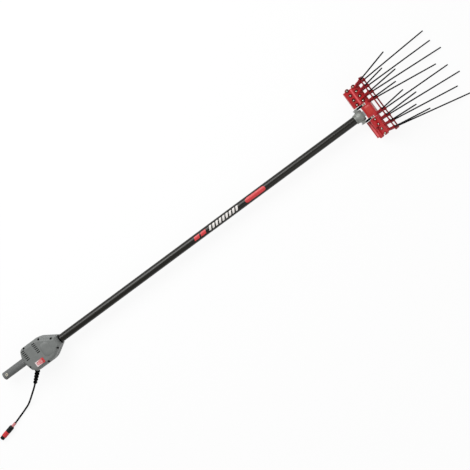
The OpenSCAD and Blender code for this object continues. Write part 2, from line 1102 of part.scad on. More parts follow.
// The two rows have sleeves of slightly different size, so that they part cleanly at the root
module sleeve(side, step, row, root, turn = 1) {
    at_tine(side, step, row, turn)
        translate([0, 0, root])
            cylinder(d = sleeve_d - (row < 0 ? sleeve_less : 0), h = sleeve_end - root);
}

module tine_bore(side, step, row, turn = 1) {
    at_tine(side, step, row, turn)
        translate([0, 0, tine_root - fit])
            cylinder(r = tine_r + fit, h = 2 * ring_out);
}

module comb_hub() {
    color(comb_red)
        at_comb()
            difference() {
                union() {
                    translate([-hub_back, -hub_half, -hub_half_h])
                        cube([hub_back + bar_from + cut, 2 * hub_half, 2 * hub_half_h]);
                    translate([bar_from, -bar_half, -hub_half_h])
                        cube([bar_to - bar_from, 2 * bar_half, 2 * hub_half_h]);
                    for (side = [-1, 1], row = [-1, 1])
                        sleeve(side, 0, row, bar_sleeve_root);
                }
                for (side = [-1, 1], row = [-1, 1])
                    tine_bore(side, 0, row);
                cross_bore();
                fork_pocket();
            }
}

module pocket_places(rows) {
    for (s = rows, i = [0:side_tines - 1])
        translate([s, pocket_first + i * pocket_pitch, 0])
            children();
}

// Plate whose outer end follows the last two screw pockets
module comb_plate() {
    last = pocket_first + (side_tines - 1) * pocket_pitch;
    translate([0, 0, -plate_t / 2]) {
        translate([-plate_back, comb_in, 0])
            cube([plate_back + plate_front, last - comb_in, plate_t]);
        for (s = pocket_rows)
            translate([s, last, 0])
                cylinder(r = lobe_r, h = plate_t);
    }
}

// Pockets round the heads of the screws
module comb_pockets() {
    pocket_places(pocket_rows)
        translate([0, 0, plate_t / 2 - pocket_deep])
            cylinder(r = pocket_r, h = boss_r);
}

// The way of every screw through plate and sleeves: its head, its shank and, in the front row, its nut
module comb_screw_room() {
    seat = plate_t / 2 - pocket_deep;
    pocket_places(pocket_rows) {
        translate([0, 0, seat - fit])
            cylinder(r = comb_head_r + room, h = boss_r);
        translate([0, 0, -plate_t / 2 - boss_r])
            cylinder(r = comb_screw_r + fit, h = plate_t + boss_r);
    }
    pocket_places([pocket_rows[0]])
        translate([0, 0, -plate_t / 2 - boss_r])
            cylinder(r = nut_pocket_r, h = nut_pocket_deep + boss_r);
}

// Both halves share one plan, one turned over; turn tells which way all tines lean sideways
module half_comb(turn) {
    difference() {
        union() {
            difference() {
                union() {
                    at_plate()
                        comb_plate();
                    along_y(comb_in - boss_proud)
                        cylinder(r = boss_r, h = boss_l + boss_proud);
                }
                at_plate()
                    comb_pockets();
            }
            for (step = [1:side_tines - 1], row = [-1, 1])
                sleeve(1, step, row, sleeve_root, turn);
        }
        at_plate()
            comb_screw_room();
        for (step = [1:side_tines - 1], row = [-1, 1])
            tine_bore(1, step, row, turn);
        cross_bore();
    }
}

module left_comb() {
    color(comb_red)
        at_comb()
            half_comb(1);
}

module right_comb() {
    color(comb_red)
        at_comb()
            rotate([180, 0, 0])
                half_comb(-1);
}

module half_comb_screws() {
    seat = plate_t / 2 - pocket_deep;
    nut_seat = -plate_t / 2 + nut_pocket_deep;
    at_plate() {
        pocket_places(pocket_rows) {
            translate([0, 0, seat])
                cylinder(r = comb_head_r, h = comb_head_h);
            translate([0, 0, -plate_t / 2])
                cylinder(r = comb_screw_r, h = plate_t / 2 + seat);
        }
        pocket_places([pocket_rows[0]])
            translate([0, 0, nut_seat - comb_nut_h])
                cylinder(r = comb_nut_r, h = comb_nut_h, $fn = 6);
    }
}

module comb_screws() {
    color(steel)
        at_comb() {
            half_comb_screws();
            rotate([180, 0, 0])
                half_comb_screws();
        }
}

// Closed ring that ties the ends of all sleeves together
module guide_ring() {
    r = ring_d / 2;
    color(dark_red)
        at_comb()
            difference() {
                union() {
                    for (up = [-1, 1]) {
                        translate([ring_x, 0, up * ring_z])
                            along_y(-ring_half)
                                cylinder(r = r, h = 2 * ring_half);
                        translate([ring_x, up * ring_half, -ring_z])
                            cylinder(r = r, h = 2 * ring_z);
                        for (side = [-1, 1])
                            translate([ring_x, side * ring_half, up * ring_z])
                                sphere(r = r);
                    }
                    for (side = [-1, 1], step = [0:side_tines - 1], row = [-1, 1])
                        at_tine(side, step, row)
                            translate([0, 0, sleeve_end])
                                cylinder(r = ring_boss_r, h = ring_boss_l);
                }
                for (side = [-1, 1], step = [0:side_tines - 1], row = [-1, 1])
                    tine_bore(side, step, row);
            }
}

// Round rod with a round tip; i counts from the left
module tine(i, row) {
    side = i <= side_tines ? 1 : -1;
    step = side > 0 ? side_tines - i : i - side_tines - 1;
    reach = (row > 0 ? upper_reach : lower_reach)[i - 1];
    color(black)
        at_comb()
            at_tine(side, step, row) {
                translate([0, 0, tine_root])
                    cylinder(r = tine_r, h = reach - tine_r - tine_root);
                translate([0, 0, reach - tine_r])
                    sphere(r = tine_r);
            }
}

// Switch

module switch_bezel() {
    window_l = rocker_l + 2;
    window_w = rocker_w + 2 * room;
    color(pale)
        at_pole()
            translate([switch_x, switch_y, half_t])
                difference() {
                    union() {
                        translate([-switch_l / 2, -switch_w / 2, 0])
                            cube([switch_l, switch_w, bezel_h]);
                        translate([
                            -switch_l / 2 + bezel_lip + room,
                            -switch_w / 2 + bezel_lip + room,
                            -bezel_deep
                        ])
                            cube([
                                switch_l - 2 * (bezel_lip + room),
                                switch_w - 2 * (bezel_lip + room),
                                bezel_deep + cut
                            ]);
                    }
                    translate([-window_l / 2, -window_w / 2, -bezel_deep + bezel_floor])
                        cube([window_l, window_w, bezel_deep + bezel_h + cut]);
                    translate([0, 0, rocker_z - half_t])
                        along_y(-rocker_w / 2 - rocker_pin_l - room)
                            cylinder(r = rocker_pin_r + fit, h = rocker_w + 2 * (rocker_pin_l + room));
                }
}

// Two faced rocker, shown with its rear end down
module switch_rocker() {
    half = rocker_l / 2;
    top = 5;
    dip = half * tan(rocker_tilt);
    depth = 4.5;
    color(comb_red)
        at_pole()
            translate([switch_x, switch_y, rocker_z])
                rotate([0, -rocker_tilt, 0])
                    union() {
                        along_y(-rocker_w / 2)
                            linear_extrude(rocker_w)
                                polygon([
                                    [-half, -top - dip / 2],
                                    [0, -top + dip / 2],
                                    [half, -top - dip / 2],
                                    [half, -top + depth],
                                    [half / 3, depth],
                                    [-half / 3, depth],
                                    [-half, -top + depth]
                                ]);
                        along_y(-rocker_w / 2 - rocker_pin_l)
                            cylinder(r = rocker_pin_r, h = rocker_w + 2 * rocker_pin_l);
                    }
}

// Cable

// Ribbed strain relief held by its flange inside the two shells
module cable_relief() {
    seat = 2.4;
    inner = -8;
    pitch = (relief_l - seat) / relief_n;
    start_r = relief_d / 2;
    valley = 3.6;
    swell = [
        for (i = [0:relief_n - 1], k = [0:4])
            let (
                z = seat + pitch * (i + k / 5),
                crest = start_r + (relief_tip_r - start_r) * z / relief_l
            )
                [crest - valley * (1 - sin(36 * k)), z]
    ];
    color(black)
        at_exit()
            rotate_extrude()
                polygon(concat(
                    [[0, inner - flange_t], [flange_r, inner - flange_t], [flange_r, inner], [neck_r, inner]],
                    [[neck_r, seat]],
                    swell,
                    [[relief_tip_r - valley, relief_l], [0, relief_l]]
                ));
}

module power_cable() {
    out = unit(relief_tip - [exit_x, exit_y, 0]);
    plug_way = [cos(plug_turn), sin(plug_turn), 0];
    color(black)
        at_pole()
            route_tube(concat([relief_tip], cable_route, [boot_at]), cable_r, cable_sides, out, plug_way);
}

module cable_boot() {
    color(comb_red)
        at_plug(0)
            cylinder(r = boot_r, h = boot_l);
}

module plug_rear() {
    l = plug_parts[0];
    color(black)
        at_plug(boot_l)
            rotate_extrude()
                polygon(concat(
                    [[0, l], [0, 0], [boot_r, 0]],
                    arc([plug_r - 7, 7], 7, -60, 0, 6),
                    [[plug_r, l]]
                ));
}

module plug_band() {
    l = plug_parts[1];
    groove = 0.8;
    color(comb_red)
        at_plug(boot_l + plug_parts[0])
            difference() {
                cylinder(r = plug_r, h = l);
                for (i = [0:17])
                    rotate([0, 0, i * 20])
                        translate([plug_r, 0, 3])
                            cylinder(r = groove, h = l - 6);
            }
}

module plug_contact_places() {
    for (i = [0:2])
        rotate([0, 0, i * 120])
            translate([contact_ring, 0, 0])
                children();
}

module plug_nose() {
    l = plug_parts[2];
    lip = 3;
    color(black)
        at_plug(boot_l + plug_parts[0] + plug_parts[1])
            difference() {
                rotate_extrude()
                    polygon(concat(
                        [[0, l], [0, 0], [plug_nose_r, 0]],
                        arc([plug_nose_r - lip, l - lip], lip, 0, 90, 6)
                    ));
                plug_contact_places()
                    translate([0, 0, l - contact_deep])
                        cylinder(r = contact_r + fit, h = contact_deep + cut);
            }
}

module plug_contacts() {
    l = plug_parts[2];
    recess = 1.5;
    color(brass)
        at_plug(boot_l + plug_parts[0] + plug_parts[1] + l - contact_deep)
            plug_contact_places()
                tube(contact_r, contact_r / 2, contact_deep - recess);
}

handle_grip();
handle_cap();
housing_top();
housing_bottom();
housing_screws();
motor_can();
motor_magnets();
motor_rear_plate();
motor_front_plate();
motor_brushes();
motor_bearings();
gear_plate();
shaft_bearings();
switch_bezel();
switch_rocker();
cable_relief();
power_cable();
cable_boot();
plug_rear();
plug_band();
plug_nose();
plug_contacts();
pole();
shaft_bushes();
head_bracket();
bearing_blocks();
head_bolts();
pivot_bearings();
drive_shaft();
drive_gear();
crank();
crank_roller();
motor_shaft();
rotor_core();
commutator();
motor_pinion();
cooling_fan();
cross_shaft();
comb_hub();
rocker_fork();
left_comb();
right_comb();
guide_ring();
comb_screws();
for (i = [1:2 * side_tines]) {
    tine(i, -1);
    tine(i, 1);
}
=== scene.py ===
"""Electric olive harvester: finishes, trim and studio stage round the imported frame."""

import json
import math

import bmesh
import bpy
import numpy as np
from mathutils import Matrix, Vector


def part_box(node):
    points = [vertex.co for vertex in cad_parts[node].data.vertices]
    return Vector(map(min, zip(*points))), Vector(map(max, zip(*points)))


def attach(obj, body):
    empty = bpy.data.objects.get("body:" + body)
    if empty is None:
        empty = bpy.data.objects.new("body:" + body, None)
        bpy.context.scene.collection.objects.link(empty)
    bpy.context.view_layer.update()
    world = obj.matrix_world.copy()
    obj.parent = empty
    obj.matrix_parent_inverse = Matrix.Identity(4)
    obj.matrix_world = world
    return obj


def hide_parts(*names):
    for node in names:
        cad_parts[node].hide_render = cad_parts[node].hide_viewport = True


bl_info = {
    "name": "Electric olive harvester",
    "version": (1, 0, 0),
    "blender": (4, 5, 0),
    "location": "3D View > Sidebar > Harvester",
    "description": "Dresses the olive harvester's frame with trim, finishes and a studio stage",
    "category": "Add Mesh",
}

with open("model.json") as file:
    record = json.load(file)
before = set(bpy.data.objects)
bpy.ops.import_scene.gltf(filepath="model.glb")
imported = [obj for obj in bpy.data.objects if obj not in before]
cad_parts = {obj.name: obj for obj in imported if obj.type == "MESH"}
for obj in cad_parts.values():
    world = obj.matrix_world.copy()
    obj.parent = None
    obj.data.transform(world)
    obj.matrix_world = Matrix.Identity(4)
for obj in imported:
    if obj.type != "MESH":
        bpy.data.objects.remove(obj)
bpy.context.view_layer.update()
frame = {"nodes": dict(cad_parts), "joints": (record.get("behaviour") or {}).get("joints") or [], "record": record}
NODES = frame["nodes"]
MM = 0.001
TAU = 2 * math.pi

# Stations of the frame, in metres
POLE_Y = (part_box("pole")[0][1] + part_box("pole")[1][1]) / 2
POLE_R = (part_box("pole")[1][1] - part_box("pole")[0][1]) / 2
POLE_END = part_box("pole")[1][0]
FLOOR_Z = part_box("housing_bottom")[0][2]
TOP_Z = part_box("housing_top")[1][2]
REAR_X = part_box("housing_top")[0][0]
NOSE_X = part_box("housing_top")[1][0]
HALF_W = (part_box("housing_top")[1][1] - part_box("housing_top")[0][1]) / 2
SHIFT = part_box("housing_top")[1][1] - HALF_W - POLE_Y
BODY_L = 104 * MM
ROUND_X = REAR_X + BODY_L
CORNER_R = 22 * MM
CORNER_CUT = 25 * MM
REAR_BOW = 7 * MM
CAP_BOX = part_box("handle_cap")
LANYARD_X = float(CAP_BOX[0][0]) + 18.5 * MM
EAR_Y = 30.5 * MM
# Each group of vents: its distance from the rear, the length of its slots, and their number
VENTS = ((17 * MM, 16 * MM, 5), (71 * MM, 15 * MM, 6))
SWING = next(j for j in frame["joints"] if j["name"] == "comb_swing")
PIVOT = np.array(SWING["pos_m"])
ROCK = next(j for j in frame["joints"] if j["name"] == "switch_rock")
ROCKER = np.array(ROCK["pos_m"])

# The lead's centre line from the strain relief to the boot, in the row frame
RELIEF_L = 67 * MM
CUT_LEG = CORNER_CUT - REAR_BOW
EXIT_SHARE = 0.4
EXIT = np.array([
    REAR_X + REAR_BOW + (1 - EXIT_SHARE) * CUT_LEG, POLE_Y + SHIFT - HALF_W + EXIT_SHARE * CUT_LEG, 0.0
])
EXIT_TURN, EXIT_DIP = math.radians(219), math.radians(12)
RELIEF_TIP = EXIT + RELIEF_L * np.array([
    math.cos(EXIT_DIP) * math.cos(EXIT_TURN), math.cos(EXIT_DIP) * math.sin(EXIT_TURN), -math.sin(EXIT_DIP)
])
LEAD_ROUTE_MM = [
    (6, -92, -15.8), (-8, -102, -19.6), (-22.1, -111, -23.8), (-35, -119.3, -28.4),
    (-48.5, -127.6, -33.6), (-62.5, -135.6, -38.8), (-76.5, -142.3, -43.4), (-91.5, -147.5, -46.9),
    (-106.5, -152.4, -49), (-121.5, -157.2, -49.3), (-136.5, -162.1, -47.4), (-151, -166.9, -44.8),
    (-164.5, -170.9, -42.7),
]
LEAD_D = 7.5 * MM

# The comb's own frame: its lean, and half of the angle between its rows
LEAN = math.radians(20)
SPREAD = math.radians(28)
ROOT_X = 12 * MM
PLATE_HALF = 7 * MM
POCKET_W = (45 + 22.7 * np.arange(4)) * MM
POCKET_S = np.array([2.0, -29.0]) * MM
POCKETS = [(half, s, w) for half in (1, -1) for s in POCKET_S for w in POCKET_W]
TINE_W = (31 + 25.5 * np.arange(4)) * MM
TINE_FAN = np.radians(-2.8 + 3.5 * np.arange(4))
TINE_SET = math.radians(2.7)
TINE_YAW = math.radians(1.6)
TINES = [(side, step, row) for side in (1, -1) for step in range(4) for row in (1, -1)]
SLEEVE_END = 52 * MM
RING_BOSS_L = 8 * MM
REACH = {
    -1: np.array([370, 370, 390, 335, 370, 395, 355, 390]) * MM,
    1: np.array([240, 185, 235, 200, 205, 250, 215, 260]) * MM,
}

# The camera: the point it looks at, its distance, its lean and roll, and the scale at that point
LOOK_AT = np.array([1.0554, -0.096, 0.0])
DISTANCE = 4.307
TILT_X, TILT_Y, ROLL = (math.radians(angle) for angle in (4.45, 0.07, 36.46))
METRES_PER_PIXEL = 0.004079
PICTURE_W = 470
SENSOR_W = 36

# Edges that turn by more than this stay sharp
SHARP = math.radians(40)


def srgb(r, g, b):
    """Linear colour of a display colour given in 0 to 255."""
    c = np.array([r, g, b]) / 255
    c = np.where(c <= 0.04045, c / 12.92, ((c + 0.055) / 1.055) ** 2.4)
    return tuple(float(x) for x in c)


def length_prop(name, words, default):
    return bpy.props.FloatProperty(name=name, description=words, default=default, unit="LENGTH", precision=4)


def colour_prop(name, words, rgb):
    return bpy.props.FloatVectorProperty(
        name=name, description=words, default=srgb(*rgb), subtype="COLOR", size=3, min=0, max=1
    )


class HarvesterSizes(bpy.types.PropertyGroup):
    """Sizes of the trim that is added to the frame."""

    flute_deep: length_prop("Flute depth", "Depth of the grooves along the handle", 0.45 * MM)
    seam_high: length_prop("Seam height", "How far the housing's seam bead stands out", 0.9 * MM)
    crown_high: length_prop("Crown height", "Height of the raised panel on the top shell", 2.6 * MM)
    rim_high: length_prop("Rim height", "Height of the rims round the comb's screw pockets", 1.2 * MM)
    spine_high: length_prop("Spine height", "Height of the bar between the comb's rows of pockets", 3.2 * MM)
    mark_lift: length_prop("Mark lift", "How far the printed marks stand off the pole", 0.15 * MM)


class HarvesterColours(bpy.types.PropertyGroup):
    """Colours of the finishes."""

    housing: colour_prop("Housing", "Grey of the motor housing", (112, 115, 113))
    handle: colour_prop("Handle", "Grey of the rear handle", (98, 100, 99))
    comb: colour_prop("Comb", "Red of the comb mouldings", (178, 18, 25))
    ring: colour_prop("Ring", "Dark red of the guide ring", (138, 10, 22))
    pole: colour_prop("Pole", "Black of the pole", (18, 16, 8))
    tine: colour_prop("Tines", "Black of the tines", (14, 15, 16))
    lead: colour_prop("Lead", "Black of the lead and plug", (6, 6, 6))
    accent: colour_prop("Accent", "Red of the switch, boot and plug band", (206, 52, 56))
    cast: colour_prop("Casting", "Grey of the cast gear head", (142, 145, 140))
    steel: colour_prop("Steel", "Bright steel of screws and shafts", (196, 198, 200))


def sizes():
    return bpy.context.scene.harvester_sizes


def colours():
    return bpy.context.scene.harvester_colours


# Surfaces


def grid_quads(rows, cols, wrap_rows=False, wrap_cols=False):
    """Quads of a rows x cols grid of points, row by row; a wrapped side joins its last line to its first."""
    i = np.arange(rows if wrap_rows else rows - 1)
    j = np.arange(cols if wrap_cols else cols - 1)
    i, j = np.meshgrid(i, j, indexing="ij")
    i2, j2 = (i + 1) % rows, (j + 1) % cols
    return np.stack([i * cols + j, i2 * cols + j, i2 * cols + j2, i * cols + j2], -1).reshape(-1, 4)


def grids(points, wrap_rows=False, wrap_cols=False):
    """Points (n, rows, cols, 3) of n like grids as one list of vertices and quads."""
    n, rows, cols, _ = points.shape
    quads = grid_quads(rows, cols, wrap_rows, wrap_cols)
    shift = np.arange(n)[:, None, None] * rows * cols
    return points.reshape(-1, 3), (quads[None] + shift).reshape(-1, 4)


def join(*meshes):
    """Several lists of vertices and quads as one."""
    base = np.cumsum([0] + [len(v) for v, _ in meshes[:-1]])
    return np.concatenate([v for v, _ in meshes]), np.concatenate([q + b for (_, q), b in zip(meshes, base)])


def axes_about(direction):
    """Two unit vectors square to a direction and to each other, right handed with it."""
    d = np.asarray(direction, float) / np.linalg.norm(direction)
    e = np.array([0.0, 0.0, 1.0]) if abs(d[2]) < 0.9 else np.array([1.0, 0.0, 0.0])
    a = np.cross(e, d)
    a /= np.linalg.norm(a)
    return a, np.cross(d, a), d


def revolve(profile, origin, direction, sides=96, radius_of=None):
    """Surface of revolution: each (r, h) of the profile turned about the direction through origin.

    radius_of(angle, h) is an optional change of the radius, for flutes and knurls.
    """
    a, b, d = axes_about(direction)
    profile = np.asarray(profile, float)
    t = np.linspace(0, TAU, sides, endpoint=False)
    r = np.repeat(profile[:, :1], sides, 1)
    if radius_of is not None:
        r = r + radius_of(t[None, :], profile[:, 1:2]) * (r > 0)
    ring = np.cos(t)[:, None] * a + np.sin(t)[:, None] * b
    points = np.asarray(origin) + r[..., None] * ring[None] + profile[:, 1][:, None, None] * d
    return grids(points[None], wrap_cols=True)


def sweep(path, section, up=(0, 0, 1)):
    """A closed section (side, lift) carried along a path, with flat ends.

    Side is up x heading, and lift is heading x side.
    """
    path = np.asarray(path, float)
    heading = np.gradient(path, axis=0)
    heading /= np.linalg.norm(heading, axis=1)[:, None]
    side = np.cross(np.asarray(up, float), heading)
    side /= np.linalg.norm(side, axis=1)[:, None]
    lift = np.cross(heading, side)
    section = np.asarray(section, float)
    points = path[:, None] + section[None, :, :1] * side[:, None] + section[None, :, 1:] * lift[:, None]
    return grids(capped(points)[None], wrap_cols=True)


def capped(rings):
    """Rings of points (rows, cols, 3) with both ends closed to their middles."""
    ends = np.repeat(rings[[0, -1]].mean(1, keepdims=True), rings.shape[1], 1)
    return np.concatenate([ends[:1], rings, ends[1:]])


def cuff(inner, r, h):
    """Closed profile of a turned sleeve: radii r at heights h, over a plain bore."""
    return np.concatenate([[[inner, 0]], np.stack([r, h], 1), [[inner, h[-1]], [inner, 0]]])


def slab(top, under):
    """Closed sheet between two like grids of points: both faces, and the wall between their edges."""

    def edge(s):
        return np.concatenate([s[0, :-1], s[:-1, -1], s[-1, :0:-1], s[:0:-1, 0]])

    wall = np.stack([edge(top), edge(under)])
    return join(grids(np.stack([top, under])), grids(wall[None], wrap_cols=True))


def dome(a, b, high, power, steps, sides):
    """Raised panel z = h (1 - rho^6) over rho = (|x/a|^p + |y/b|^p)^(1/p), on a foot 0.3 mm deep."""
    rho = np.concatenate([np.linspace(0, 0.9, steps[0]), np.linspace(0.92, 1, steps[1])])[:, None]
    t = np.linspace(0, TAU, sides, endpoint=False)[None]
    edge = (np.abs(np.cos(t)) ** power + np.abs(np.sin(t)) ** power) ** (-1 / power)
    top = np.stack([a * rho * edge * np.cos(t), b * rho * edge * np.sin(t), high * (1 - rho**6) + 0 * t], -1)
    foot = top[-1:] - np.array([0, 0, 0.3 * MM])
    under = np.repeat(foot.mean(1, keepdims=True), sides, 1)
    return np.concatenate([top, foot, under])


def ring_section(r, sides):
    t = np.linspace(0, TAU, sides, endpoint=False)
    return np.stack([r * np.cos(t), r * np.sin(t)], 1)


def smooth_route(points, per_span):
    """Catmull-Rom curve: on each span the cubic whose end slopes are half the chords round it."""
    p = np.asarray(points, float)
    q = np.concatenate([2 * p[:1] - p[1:2], p, 2 * p[-1:] - p[-2:-1]])
    t = np.linspace(0, 1, per_span, endpoint=False)[None, :, None]
    a, b, c, d = (q[i : len(q) - 3 + i][:, None] for i in range(4))
    curve = 0.5 * (2 * b + (c - a) * t + (2 * a - 5 * b + 4 * c - d) * t**2 + (3 * b - a - 3 * c + d) * t**3)
    return np.concatenate([curve.reshape(-1, 3), p[-1:]])


def piece(name, mesh, finish, body, replaces=()):
    """A Blender object from vertices and quads: doubles merged, normals outwards, riding on a body."""
    points, quads = mesh
    data = bpy.data.meshes.new(name)
    data.from_pydata(points.tolist(), [], quads.tolist())
    bm = bmesh.new()
    bm.from_mesh(data)
    bmesh.ops.remove_doubles(bm, verts=bm.verts, dist=1e-7)
    bmesh.ops.dissolve_degenerate(bm, edges=bm.edges, dist=1e-8)
    bmesh.ops.recalc_face_normals(bm, faces=bm.faces)
    bm.to_mesh(data)
    bm.free()
    if not data.polygons:
        raise RuntimeError(f"{name} has no faces")
    data.shade_smooth()
    data.set_sharp_from_angle(angle=SHARP)
    data.materials.append(finish)
    obj = bpy.data.objects.new(name, data)
    bpy.context.scene.collection.objects.link(obj)
    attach(obj, body)
    if replaces:
        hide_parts(*replaces)
    return obj


# Places on the comb


def comb_to_row(p):
    """The comb's own frame, X along its middle, turned up by its lean and set on the swing axis."""
    x, y, z = p[..., 0], p[..., 1], p[..., 2]
    c, s = math.cos(LEAN), math.sin(LEAN)
    return np.stack([c * x - s * z, y, s * x + c * z], -1) + PIVOT


def plate_to_row(s, w, n, half):
    """A point of a comb half: s along its lower row, w outwards, n through it. Half -1 is turned over."""
    c, k = math.cos(SPREAD), math.sin(SPREAD)
    x = ROOT_X + s * c + n * k
    z = -s * k + n * c
    return comb_to_row(np.stack([x, half * w, half * z], -1))


def tine_line(side, step, row):
    """Foot and heading of one tine, in the row frame."""
    fan = side * TINE_FAN[step] + row * TINE_SET - TINE_YAW
    foot = np.array([ROOT_X, side * TINE_W[step], 0.0])
    k = row * SPREAD
    d = np.array([math.cos(fan) * math.cos(k), math.sin(fan), math.cos(fan) * math.sin(k)])
    start = comb_to_row(foot)
    return start, comb_to_row(foot + d) - start


# Finishes


class Finish:
    """A material under way: its nodes, and the Principled shader they feed."""

    def __init__(self, name):
        self.material = bpy.data.materials.new(name)
        self.material.use_nodes = True
        self.tree = self.material.node_tree
        self.shader = next(n for n in self.tree.nodes if n.type == "BSDF_PRINCIPLED")
        self.where = self.node("ShaderNodeTexCoord").outputs["Object"]

    def node(self, kind, **values):
        n = self.tree.nodes.new(kind)
        for key, value in values.items():
            setattr(n, key, value)
        return n

    def link(self, a, b):
        self.tree.links.new(a, b)

    def stretched(self, scale):
        n = self.node("ShaderNodeMapping")
        n.inputs["Scale"].default_value = scale
        self.link(self.where, n.inputs["Vector"])
        return n.outputs["Vector"]

    def noise(self, scale, detail=4, rough=0.55, vector=None):
        n = self.node("ShaderNodeTexNoise")
        n.inputs["Scale"].default_value = scale
        n.inputs["Detail"].default_value = detail
        n.inputs["Roughness"].default_value = rough
        self.link(vector or self.where, n.inputs["Vector"])
        return n.outputs["Fac"]

    def cells(self, scale):
        n = self.node("ShaderNodeTexVoronoi", feature="F1")
        n.inputs["Scale"].default_value = scale
        self.link(self.where, n.inputs["Vector"])
        return n.outputs["Distance"]

    def ramp(self, value, low, high, at=(0.3, 0.7)):
        n = self.node("ShaderNodeValToRGB")
        n.color_ramp.elements[0].position = at[0]
        n.color_ramp.elements[1].position = at[1]
        n.color_ramp.elements[0].color = (*low, 1)
        n.color_ramp.elements[1].color = (*high, 1)
        self.link(value, n.inputs["Fac"])
        return n.outputs["Color"]

    def spread(self, value, low, high, at=(0.3, 0.7)):
        n = self.node("ShaderNodeMapRange")
        for socket, v in zip(("From Min", "From Max", "To Min", "To Max"), (*at, low, high)):
            n.inputs[socket].default_value = v
        self.link(value, n.inputs["Value"])
        return n.outputs["Result"]

    def mix(self, share, a, b, blend="MIX"):
        n = self.node("ShaderNodeMix", data_type="RGBA", blend_type=blend)
        self.link(share, n.inputs["Factor"])
        self.link(a, n.inputs["A"])
        self.link(b, n.inputs["B"])
        return n.outputs["Result"]

    def bump(self, height, deep, strength=0.6):
        n = self.node("ShaderNodeBump")
        n.inputs["Strength"].default_value = strength
        n.inputs["Distance"].default_value = deep
        self.link(height, n.inputs["Height"])
        self.link(n.outputs["Normal"], self.shader.inputs["Normal"])

    def set(self, **values):
        for key, value in values.items():
            self.shader.inputs[key.replace("_", " ")].default_value = value


def shade(colour, k):
    return tuple(min(1.0, c * k) for c in colour)


def moulded(name, colour, rough, grain, deep, vary=0.16, coat=0.0, dust=0.0, glint=0.5):
    """Moulded plastic: spark-eroded grain in the bump, slow shifts of tone, a little dust in scattered patches."""
    f = Finish(name)
    tone = f.ramp(f.noise(38, 3), shade(colour, 1 - vary), shade(colour, 1 + vary))
    fine = f.noise(grain * 0.5, 2)
    pepper = f.ramp(fine, shade(colour, 1 - vary * 1.2), shade(colour, 1 + vary * 0.7), (0.25, 0.75))
    colour_out = f.mix(f.spread(f.noise(9, 2), 0.25, 0.55), tone, pepper)
    if dust:
        pale = f.ramp(f.noise(120, 5), colour, tuple(0.5 * c + 0.2 for c in colour))
        colour_out = f.mix(f.spread(f.noise(14, 5, 0.7), 0.0, dust, (0.52, 0.75)), colour_out, pale)
    f.link(colour_out, f.shader.inputs["Base Color"])
    f.link(f.spread(f.noise(70, 4), rough - 0.07, rough + 0.09), f.shader.inputs["Roughness"])
    f.bump(f.cells(grain), deep)
    f.set(Coat_Weight=coat, Coat_Roughness=0.25, Specular_IOR_Level=glint)
    return f.material


def metal(name, colour, rough, stretch, grain, deep, vary=0.12, metallic=1.0):
    """Worked metal: tool marks are noise drawn out along one axis, over slow shifts of tone."""
    f = Finish(name)
    marks = f.noise(grain, 3, 0.6, f.stretched(stretch))
    tone = f.ramp(marks, shade(colour, 1 - vary), shade(colour, 1 + vary))
    worn = f.ramp(f.noise(60, 5, 0.7), shade(colour, 1 - 2 * vary), shade(colour, 1 + vary), (0.35, 0.6))
    f.link(f.mix(f.spread(f.noise(24, 3), 0.2, 0.6), tone, worn), f.shader.inputs["Base Color"])
    f.link(f.spread(marks, rough - 0.06, rough + 0.1), f.shader.inputs["Roughness"])
    f.bump(marks, deep, 0.4)
    f.set(Metallic=metallic)
    return f.material


def cast_metal(name, colour, rough):
    """Sand cast alloy: fine pits from cells, broad patches of oxide, half metallic under its skin."""
    f = Finish(name)
    patches = f.ramp(f.noise(55, 6, 0.65), shade(colour, 0.72), shade(colour, 1.1), (0.35, 0.65))
    skin = f.ramp(f.noise(400, 3), shade(colour, 0.85), shade(colour, 1.12))
    f.link(f.mix(f.spread(f.noise(90, 2), 0.3, 0.7), patches, skin), f.shader.inputs["Base Color"])
    f.link(f.spread(f.noise(150, 4), rough - 0.1, rough + 0.12), f.shader.inputs["Roughness"])
    f.bump(f.mix(f.noise(30, 2), f.cells(700), f.noise(1500, 2)), 0.00025, 0.5)
    f.set(Metallic=0.55)
    return f.material


def fibre_rod(name, colour, rough):
    """Pultruded rod: long fibres show as noise drawn out along the tool, with faint pale scuffs."""
    f = Finish(name)
    fibres = f.noise(900, 3, 0.6, f.stretched((0.06, 1, 1)))
    tone = f.ramp(fibres, shade(colour, 0.6), shade(colour, 1.5))
    scuff = f.ramp(f.noise(220, 5), colour, tuple(0.6 * c + 0.06 for c in colour), (0.5, 0.8))
    f.link(f.mix(f.spread(f.noise(20, 3), 0.0, 0.6, (0.45, 0.7)), tone, scuff), f.shader.inputs["Base Color"])
    f.link(f.spread(fibres, rough - 0.08, rough + 0.1), f.shader.inputs["Roughness"])
    f.bump(fibres, 0.0001, 0.4)
    f.set(Specular_IOR_Level=0.06)
    return f.material


def anodised(name, colour, rough):
    """Black anodised tube: draw lines along the pole, a soft sheen and small handling scuffs."""
    f = Finish(name)
    lines = f.noise(700, 3, 0.6, f.stretched((0.01, 1, 1)))
    tone = f.ramp(lines, shade(colour, 0.75), shade(colour, 1.3))
    scuff = f.ramp(f.noise(300, 5, 0.7), colour, tuple(0.7 * c + 0.05 for c in colour), (0.55, 0.8))
    worn = f.spread(f.noise(18, 4), 0.0, 0.55, (0.5, 0.72))
    f.link(f.mix(worn, tone, scuff), f.shader.inputs["Base Color"])
    f.link(f.spread(lines, rough - 0.06, rough + 0.08), f.shader.inputs["Roughness"])
    f.bump(lines, 0.00008, 0.35)
    f.set(Metallic=0.1, Specular_IOR_Level=0.45)
    return f.material


